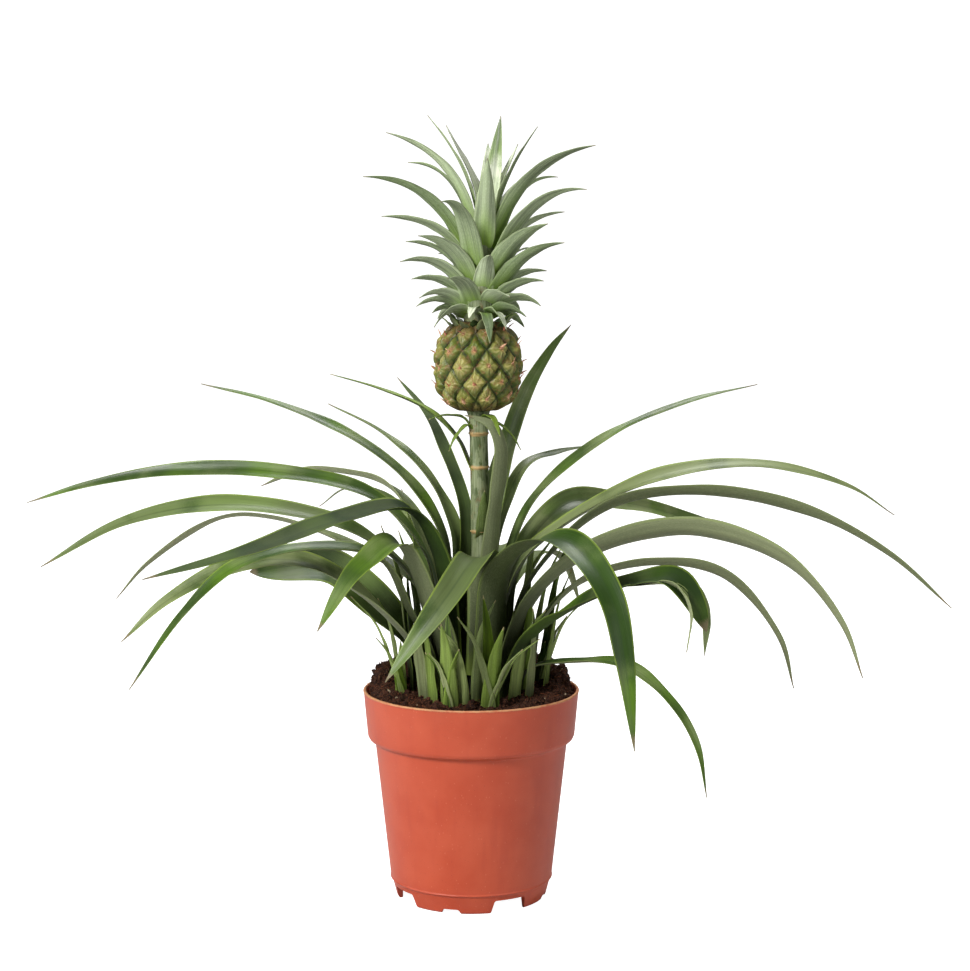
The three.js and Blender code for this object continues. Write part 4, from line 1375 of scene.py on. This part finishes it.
right = turn * (FRUIT["right"] / 2 / math.pi) - climb + uneven_too * 0.3
p = g.compute("FRACT", left + WHOLE) - 0.5
q = g.compute("FRACT", right + WHOLE) - 0.5
eye_x = p + q
eye_y = p - q
edge = 1.0 - g.most(abs(p), abs(q)) * 2.0
ray = g.compute("ARCTAN2", eye_y, eye_x)
from_middle = g.compute("SQRT", eye_x * eye_x + eye_y * eye_y)
# the lower half of an eye is a small leaf whose tip lies on the middle
flap = g.step(eye_y, 0.10, -0.16) * g.step(abs(eye_x) + eye_y * 0.6, 0.42, 0.1)
ribs = g.cos(ray * 7.0) * g.step(from_middle, 0.06, 0.25) * g.step(edge, 0.04, 0.3)
dome = g.step(edge, 0.0, 0.42) * 0.55 + edge * 0.15 + flap * 0.30
pit = g.step(from_middle, 0.16, 0.02)
grown = dome + ribs * 0.07 - pit * 0.10 + (uneven + uneven_too) * 0.35
wide = g.least(swell / 0.012, 1.0)
out = swell - relief + relief * grown * wide * 1.05
out = g.most(out, 0.0015)
level = bottom + (top - bottom) * share
spot = g.vector(g.cos(turn) * out + lean, g.sin(turn) * out, level)
fruit = stored(g, barrel, "eye_edge", edge)
fruit = stored(g, fruit, "eye_x", eye_x)
fruit = stored(g, fruit, "eye_y", eye_y)
number = g.compute("FLOOR", left + WHOLE) * 7.3 + g.compute("FLOOR", right + WHOLE) * 3.1
fruit = stored(g, fruit, "eye_number", g.compute("FRACT", g.sin(number) * 43.7))
fruit = g.node("GeometryNodeSetPosition", fruit, at={"Position": spot})
FRUIT_EYES = g.ends("Fruit", fruit, material)

# %% Material: fruit skin
fruit_skin, g, skin = new_material("fruit skin")
edge, eye_x, eye_y = (g.attribute(name) for name in ("eye_edge", "eye_x", "eye_y"))
number = g.attribute("eye_number")
spot = g.spot()
x, y, z = g.split(spot)
ray = g.compute("ARCTAN2", eye_y, eye_x)
from_middle = g.compute("SQRT", eye_x * eye_x + eye_y * eye_y)
fine = g.noise(spot, 1.1, 4.0, 0.65)
broad = g.noise(spot, 0.16, 3.0)
# pale lines run from the middle of each eye to its edge
lines = g.cos(ray * 13.0 + fine * 3.0 + number * 6.0) * 0.5 + 0.5
lines = lines * g.step(from_middle, 0.05, 0.2)
green = g.mix(colour(92, 104, 30), colour(148, 144, 66), g.step(broad + number * 0.35, 0.4, 0.9))
lined = lines * g.step(edge, 0.08, 0.5) * g.step(number, 0.2, 0.6)
dried = g.step(from_middle + fine * 0.34 + number * 0.16, 0.50, 0.26)
# painted shade: the furrows between the eyes are near black
furrow_shade = g.step(edge + fine * 0.1, 0.13, 0.05)
glint = g.step(abs(edge - 0.18 + (fine - 0.5) * 0.12), 0.04, 0.0) * g.step(number, 0.3, 0.9)
ends = g.most(g.step(z + fine * 3.0, 284.0, 278.0), g.step(z + fine * 3.0, 317.0, 324.0))
rusty = g.step(g.noise(spot, 0.3, 4.0, 0.7), 0.50, 0.64)
green = g.layers(
    green,
    ((186, 172, 116), lined * 0.5),
    # painted shade: the lower half of each eye is darker green, as if lit from above
    ((56, 74, 20), g.step(eye_y + fine * 0.2, 0.05, -0.42) * 0.6),
    ((48, 70, 14), g.step(edge + fine * 0.24, 0.46, 0.16) * 0.85),
    ((184, 136, 96), dried * 0.75),
    ((112, 66, 40), g.step(from_middle + fine * 0.12, 0.16, 0.08) * 0.7),
    # painted shade in the furrows between the eyes
    ((30, 32, 8), furrow_shade * 0.85),
    ((190, 196, 140), glint * 0.4),
    ((84, 60, 34), ends * 0.75),
    ((134, 92, 56), rusty * 0.55),
)
rough = 0.42 + dried * 0.35 + fine * 0.1
g.surface(skin, green, rough, lines * 0.6 + fine * 0.8, strength=0.6, depth=0.35)

# %% Grow the fruit
values = {"bottom": FRUIT_LEVELS[0], "top": FRUIT_LEVELS[1], "lean": LEAN["stalk"]}
values |= {key: FRUIT[key] for key in ("radius", "relief", "eye_height")}
values = {key: value * MM for key, value in values.items()}
seed_mesh = mesh_of("fruit seed", [(0, 0, 0)])
fruit_mesh = grow("fruit", seed_mesh, FRUIT_EYES, material=fruit_skin, **values)
finished("young_fruit", fruit_mesh, "fruit", "fruit")

# %% [markdown]
# ### Dried leaf tips on the eyes
#
# Each eye still carries the dried tip of the small leaf that covered its flower. They stick out of
# the outline of the fruit, pinkish tan and curled, each a little different.

# %% Material: dried tips
dried_tip, g, skin = new_material("dried tip")
spot = g.spot()
mottle = g.noise(spot, 0.8, 3.0, 0.6)
tan = g.mix(colour(150, 96, 66), colour(214, 168, 132), g.step(mottle, 0.32, 0.66))
tan = g.mix(tan, colour(176, 84, 66), g.step(g.noise(spot, 0.12, 2.0), 0.5, 0.62) * 0.7)
g.surface(skin, tan, 0.6 + mottle * 0.2, mottle, strength=0.5, depth=0.2)

# %% Place a tip on every eye
CHANCE_TIPS = np.random.default_rng(21)
low, high = FRUIT_LEVELS
up = np.array([0, 0, 1.0])
tips = []
for i in range(-12, 30):
    for j in range(-30, 30):
        p, q = i + 0.5, j + 0.5
        turn = 2 * math.pi * (p + q) / (FRUIT["left"] + FRUIT["right"])
        climb = math.pi * p - FRUIT["left"] * turn / 2
        level = low + climb * FRUIT["eye_height"] / math.pi
        if not (-math.pi < turn <= math.pi and low + 4 < level < high - 1):
            continue
        radius = FRUIT["radius"] * barrel_swell((level - low) / (high - low))
        facing = math.degrees(turn)
        way, across = facing_way(facing), across_way(facing)
        centre = axis_at(low + 49) + way * (radius - 1.6)
        centre[2] = level - 1.6
        length = CHANCE_TIPS.uniform(2.4, 5.6)
        lift = CHANCE_TIPS.uniform(0.2, 1.5)
        aside = across * CHANCE_TIPS.uniform(-0.5, 0.5)
        width = CHANCE_TIPS.uniform(2.0, 3.2)
        path = [
            centre,
            centre + way * 1.2 + up * length * 0.35,
            centre + way * (1.4 + lift * 1.4) + up * length * 0.75 + aside * length * 0.3,
            centre + way * (1.2 + lift * 3.0) + up * length + aside * length * 0.9,
        ]
        look = {"stations": 9, "base": 1.0, "fullness": 1.4, "thick": (0.5, 0.25), "wave": 0.2}
        look["twist"] = CHANCE_TIPS.uniform(-50, 50)
        tips.append(blade(catmull_rom(path, 12), width, steady(across), **look))
finished("dried_tips", skinned("dried_tips", tips, dried_tip, sides=8), "fruit")
print(len(tips), "tips")

# %% Grow the short leaves on the shoulder of the fruit
# the angle in degrees from one leaf of a spiral to the next
SPIRAL_STEP = 137.5
shoulder = []
for k in range(17):
    facing = k * SPIRAL_STEP
    way = facing_way(facing)
    out = CHANCE_TIPS.uniform(0.85, 1.1)
    level = CHANCE_TIPS.uniform(318.5, 321.5)
    rise = CHANCE_TIPS.uniform(3.5, 8.5)
    width = CHANCE_TIPS.uniform(5.0, 8.0)
    # how far above the root and how far from the axis the leaf passes
    steps = [(0, 11), (2.5, 15.5), (2.5 + rise * 0.6, 19), (2.5 + rise, 20.5 + rise * 0.3)]
    path = [axis_at(level + up_by) + way * apart * out for up_by, apart in steps]
    look = {"stations": 14, "base": 1.0, "fullness": 2.0, "thick": (0.9, 0.4), "wave": 0.3}
    look["bloom"] = CHANCE_TIPS.uniform(0.0, 0.4)
    shoulder.append(blade(catmull_rom(path, 12), width, steady(across_way(facing)), **look))
finished("shoulder_leaves", skinned("shoulder_leaves", shoulder, LEAF, sides=12), "fruit")

# %% [markdown]
# ## Crown
#
# The crown is a small rosette of its own on top of the fruit: short leaves that curl down at its
# foot, the longest ones half way up, and upright ones in the middle. Their faces are silvery with
# scurf. The very small teeth of their margins are left out.

# %% The crown's leaves
# facing, width, level of the root, reach and level of the tip, slope of the tip
CROWN_LEAVES = [
    (284, 8, 328, 27, 314.4, -75), (310, 10, 329, 24, 321.5, -60), (214, 13, 328, 29, 322.6, -60),
    (8, 10, 327.5, 26, 321.7, -50), (85, 7, 327.5, 27, 324, -55), (145, 10, 328, 28, 326, -50),
    (255, 7, 331, 20, 327.5, -50), (340, 12, 328.5, 28, 328, -35), (165, 9, 328, 27, 329.5, -40),
    (40, 12, 329, 30, 331, -40), (120, 10, 329, 30, 333, -35), (184, 10, 329, 35, 333.5, -35),
    (356, 12, 330, 34, 333.7, -40), (70, 8, 330, 32, 338, -30), (202, 12, 331, 36, 338.5, -30),
    (305, 13, 334, 28, 339.4, -20), (178, 12, 334, 39, 348.5, -10), (350, 12, 333, 35, 347.6, -8),
    (100, 9, 333, 36, 350, -15), (238, 13, 334, 35, 349.5, -5), (5, 12, 336, 36, 353, -5),
    (194, 12, 338, 47, 358.2, -15), (130, 11, 338, 40, 362, -5), (50, 11, 338, 42, 365, -5),
    (338, 13, 338, 47, 368.7, 5), (280, 13, 342, 20, 362, 10), (160, 12, 342, 47, 369, 0),
    (212, 14, 344, 43, 372.5, 5), (80, 10, 343, 44, 378, 0), (325, 16, 346, 41, 379, 15),
    (172, 12, 350, 59, 383, 0), (16, 12, 352, 45, 385.5, 5), (232, 14, 350, 42, 390.5, -10),
    (110, 11, 350, 45, 392, 5), (346, 13, 352, 55, 397.5, -5), (186, 13, 352, 70, 404.5, 0),
    (60, 13, 360, 40, 405, 20), (14, 10, 364, 39, 404.6, -5), (150, 12, 362, 54, 413, 0),
    (262, 14, 366, 15, 414.5, 75), (352, 13, 366, 57, 421.5, 10), (172, 13, 366, 60, 429, 15),
    (95, 12, 370, 30, 424, 45), (45, 13, 378, 20, 423, 65), (150, 10, 372, 43, 439, 45),
    (130, 10, 376, 42, 434, 50), (30, 12, 374, 28, 432.5, 55), (75, 13, 376, 14, 438.5, 80),
]
# level and radius of the core that carries them
CROWN_CORE = [(325.4, 8.0), (331.4, 9.5), (356.7, 5.9), (388, 1.6)]
print(len(CROWN_LEAVES), "leaves in the crown")

# %% Grow the crown
low, high = CROWN_CORE[0][0], CROWN_CORE[-1][0]
crown_blades = []
for facing, width, root, reach, tip_level, tip_slope in CROWN_LEAVES:
    share = (root - low) / (high - low)
    root_reach = 9.5 * blend(0.7, 0.2, share)
    slope, tip = math.radians(blend(35, 84, share**0.6)), math.radians(tip_slope)
    handle = 0.4 * math.hypot(reach - root_reach, tip_level - root)
    # how far out and how high the corners of the leaf's curve are
    corners = [
        (root_reach, root),
        (root_reach + handle * math.cos(slope), root + handle * math.sin(slope)),
        (reach - handle * math.cos(tip), tip_level - handle * math.sin(tip)),
        (reach, tip_level),
    ]
    path = bezier(*(axis_at(level) + facing_way(facing) * out for out, level in corners))
    look = {"stations": 44, "base": 0.6, "fullness": 2.0, "thick": (1.0, 0.5), "wave": 0.2}
    look["roll"] = -33 * math.cos(math.radians(facing))
    crown_blades.append(blade(path, width, steady(across_way(facing)), **look))
crown_mesh = skinned("crown_leaves", crown_blades, CROWN_LEAF, sides=16)
finished("crown_leaves", crown_mesh, "crown", "crown")
levels = np.linspace(low, high, 40)
girth = np.interp(levels, *zip(*CROWN_CORE))
finished("crown_core", tube_mesh("crown_core", axis_at(levels), girth), "crown")

# %% [markdown]
# ## Floor and light
#
# The plant stands on a plain pale sweep, which is a floor that curves up into a wall, so that no
# horizon shows. Four soft lights are set round it: the strongest at the upper left, a wide weak one
# at the right, one above and behind, and a weak one from the left side. The world lights the plant
# only faintly, but the camera sees it as pale as the sweep.

# %% Material: pale paper
paper, g, skin = new_material("pale paper", specular=0.0)
DARKER, LIGHTER = (0.56, 0.56, 0.56, 1), (0.59, 0.59, 0.59, 1)
tint = g.noise(g.node("ShaderNodeTexCoord", out="Object"), 3.0, 2.0)
g.feed(skin.inputs["Base Color"], g.mix(DARKER, LIGHTER, tint))
skin.inputs["Roughness"].default_value = 0.9
# the paper shines only to the camera, so that it looks white and doesn't light the plant
skin.inputs["Emission Color"].default_value = (1.0, 1.0, 1.0, 1)
g.feed(skin.inputs["Emission Strength"], g.node("ShaderNodeLightPath", out="Is Camera Ray"))

# %% Sweep
HALF_WIDTH, FRONT, BACK, TOP, BEND = 9000, -9000, 2600, 9000, 1600
bend = [(math.sin(t), 1 - math.cos(t)) for t in np.linspace(0, math.pi / 2, 17)]
section = [(FRONT, 0), (BACK, 0), *((BACK + BEND * a, BEND * b) for a, b in bend[1:])]
section.append((BACK + BEND, TOP))
points = [(x, y, z) for y, z in section for x in (-HALF_WIDTH, HALF_WIDTH)]
faces = [(2 * k, 2 * k + 1, 2 * k + 3, 2 * k + 2) for k in range(len(section) - 1)]
sweep_mesh = mesh_of("sweep", points, faces)
sweep_mesh.polygons.foreach_set("use_smooth", [True] * len(sweep_mesh.polygons))
sweep_mesh.materials.append(paper)
sweep = bpy.data.objects.new("sweep", sweep_mesh)
bpy.context.collection.objects.link(sweep)
print("sweep with", len(faces), "faces")


# %% Lights
AIM = Vector((0, 0, 0.2))


def soft_light(name, place, size, power):
    light = bpy.data.lights.new(name, "AREA")
    light.shape = "DISK"
    light.size = size
    light.energy = power
    lamp = bpy.data.objects.new(name, light)
    lamp.location = place
    lamp.rotation_euler = (AIM - Vector(place)).to_track_quat("-Z", "Y").to_euler()
    bpy.context.collection.objects.link(lamp)
    print("light:", name, power, "W")


# name, place and size in metres, power in watts
soft_light("key", (-1.3, -1.5, 1.5), 0.7, 60)
soft_light("fill", (1.6, -1.5, 0.9), 1.6, 12)
soft_light("top", (0.2, 0.9, 1.9), 1.0, 26)
soft_light("side", (-2.0, -0.2, 0.7), 1.2, 9)
world = bpy.data.worlds.new("pale room")
bpy.context.scene.world = world
world.use_nodes = True
background = world.node_tree.nodes["Background"]
background.inputs["Color"].default_value = (0.98, 0.99, 1.0, 1)
# the world's strength as a light, and what is added to it for the camera
FAINT, SEEN = 0.14, 0.86
g = Graph(world.node_tree)
looked_at = g.node("ShaderNodeLightPath", out="Is Camera Ray")
g.feed(background.inputs["Strength"], FAINT + looked_at * SEEN)
bpy.context.scene.view_settings.view_transform = "Standard"
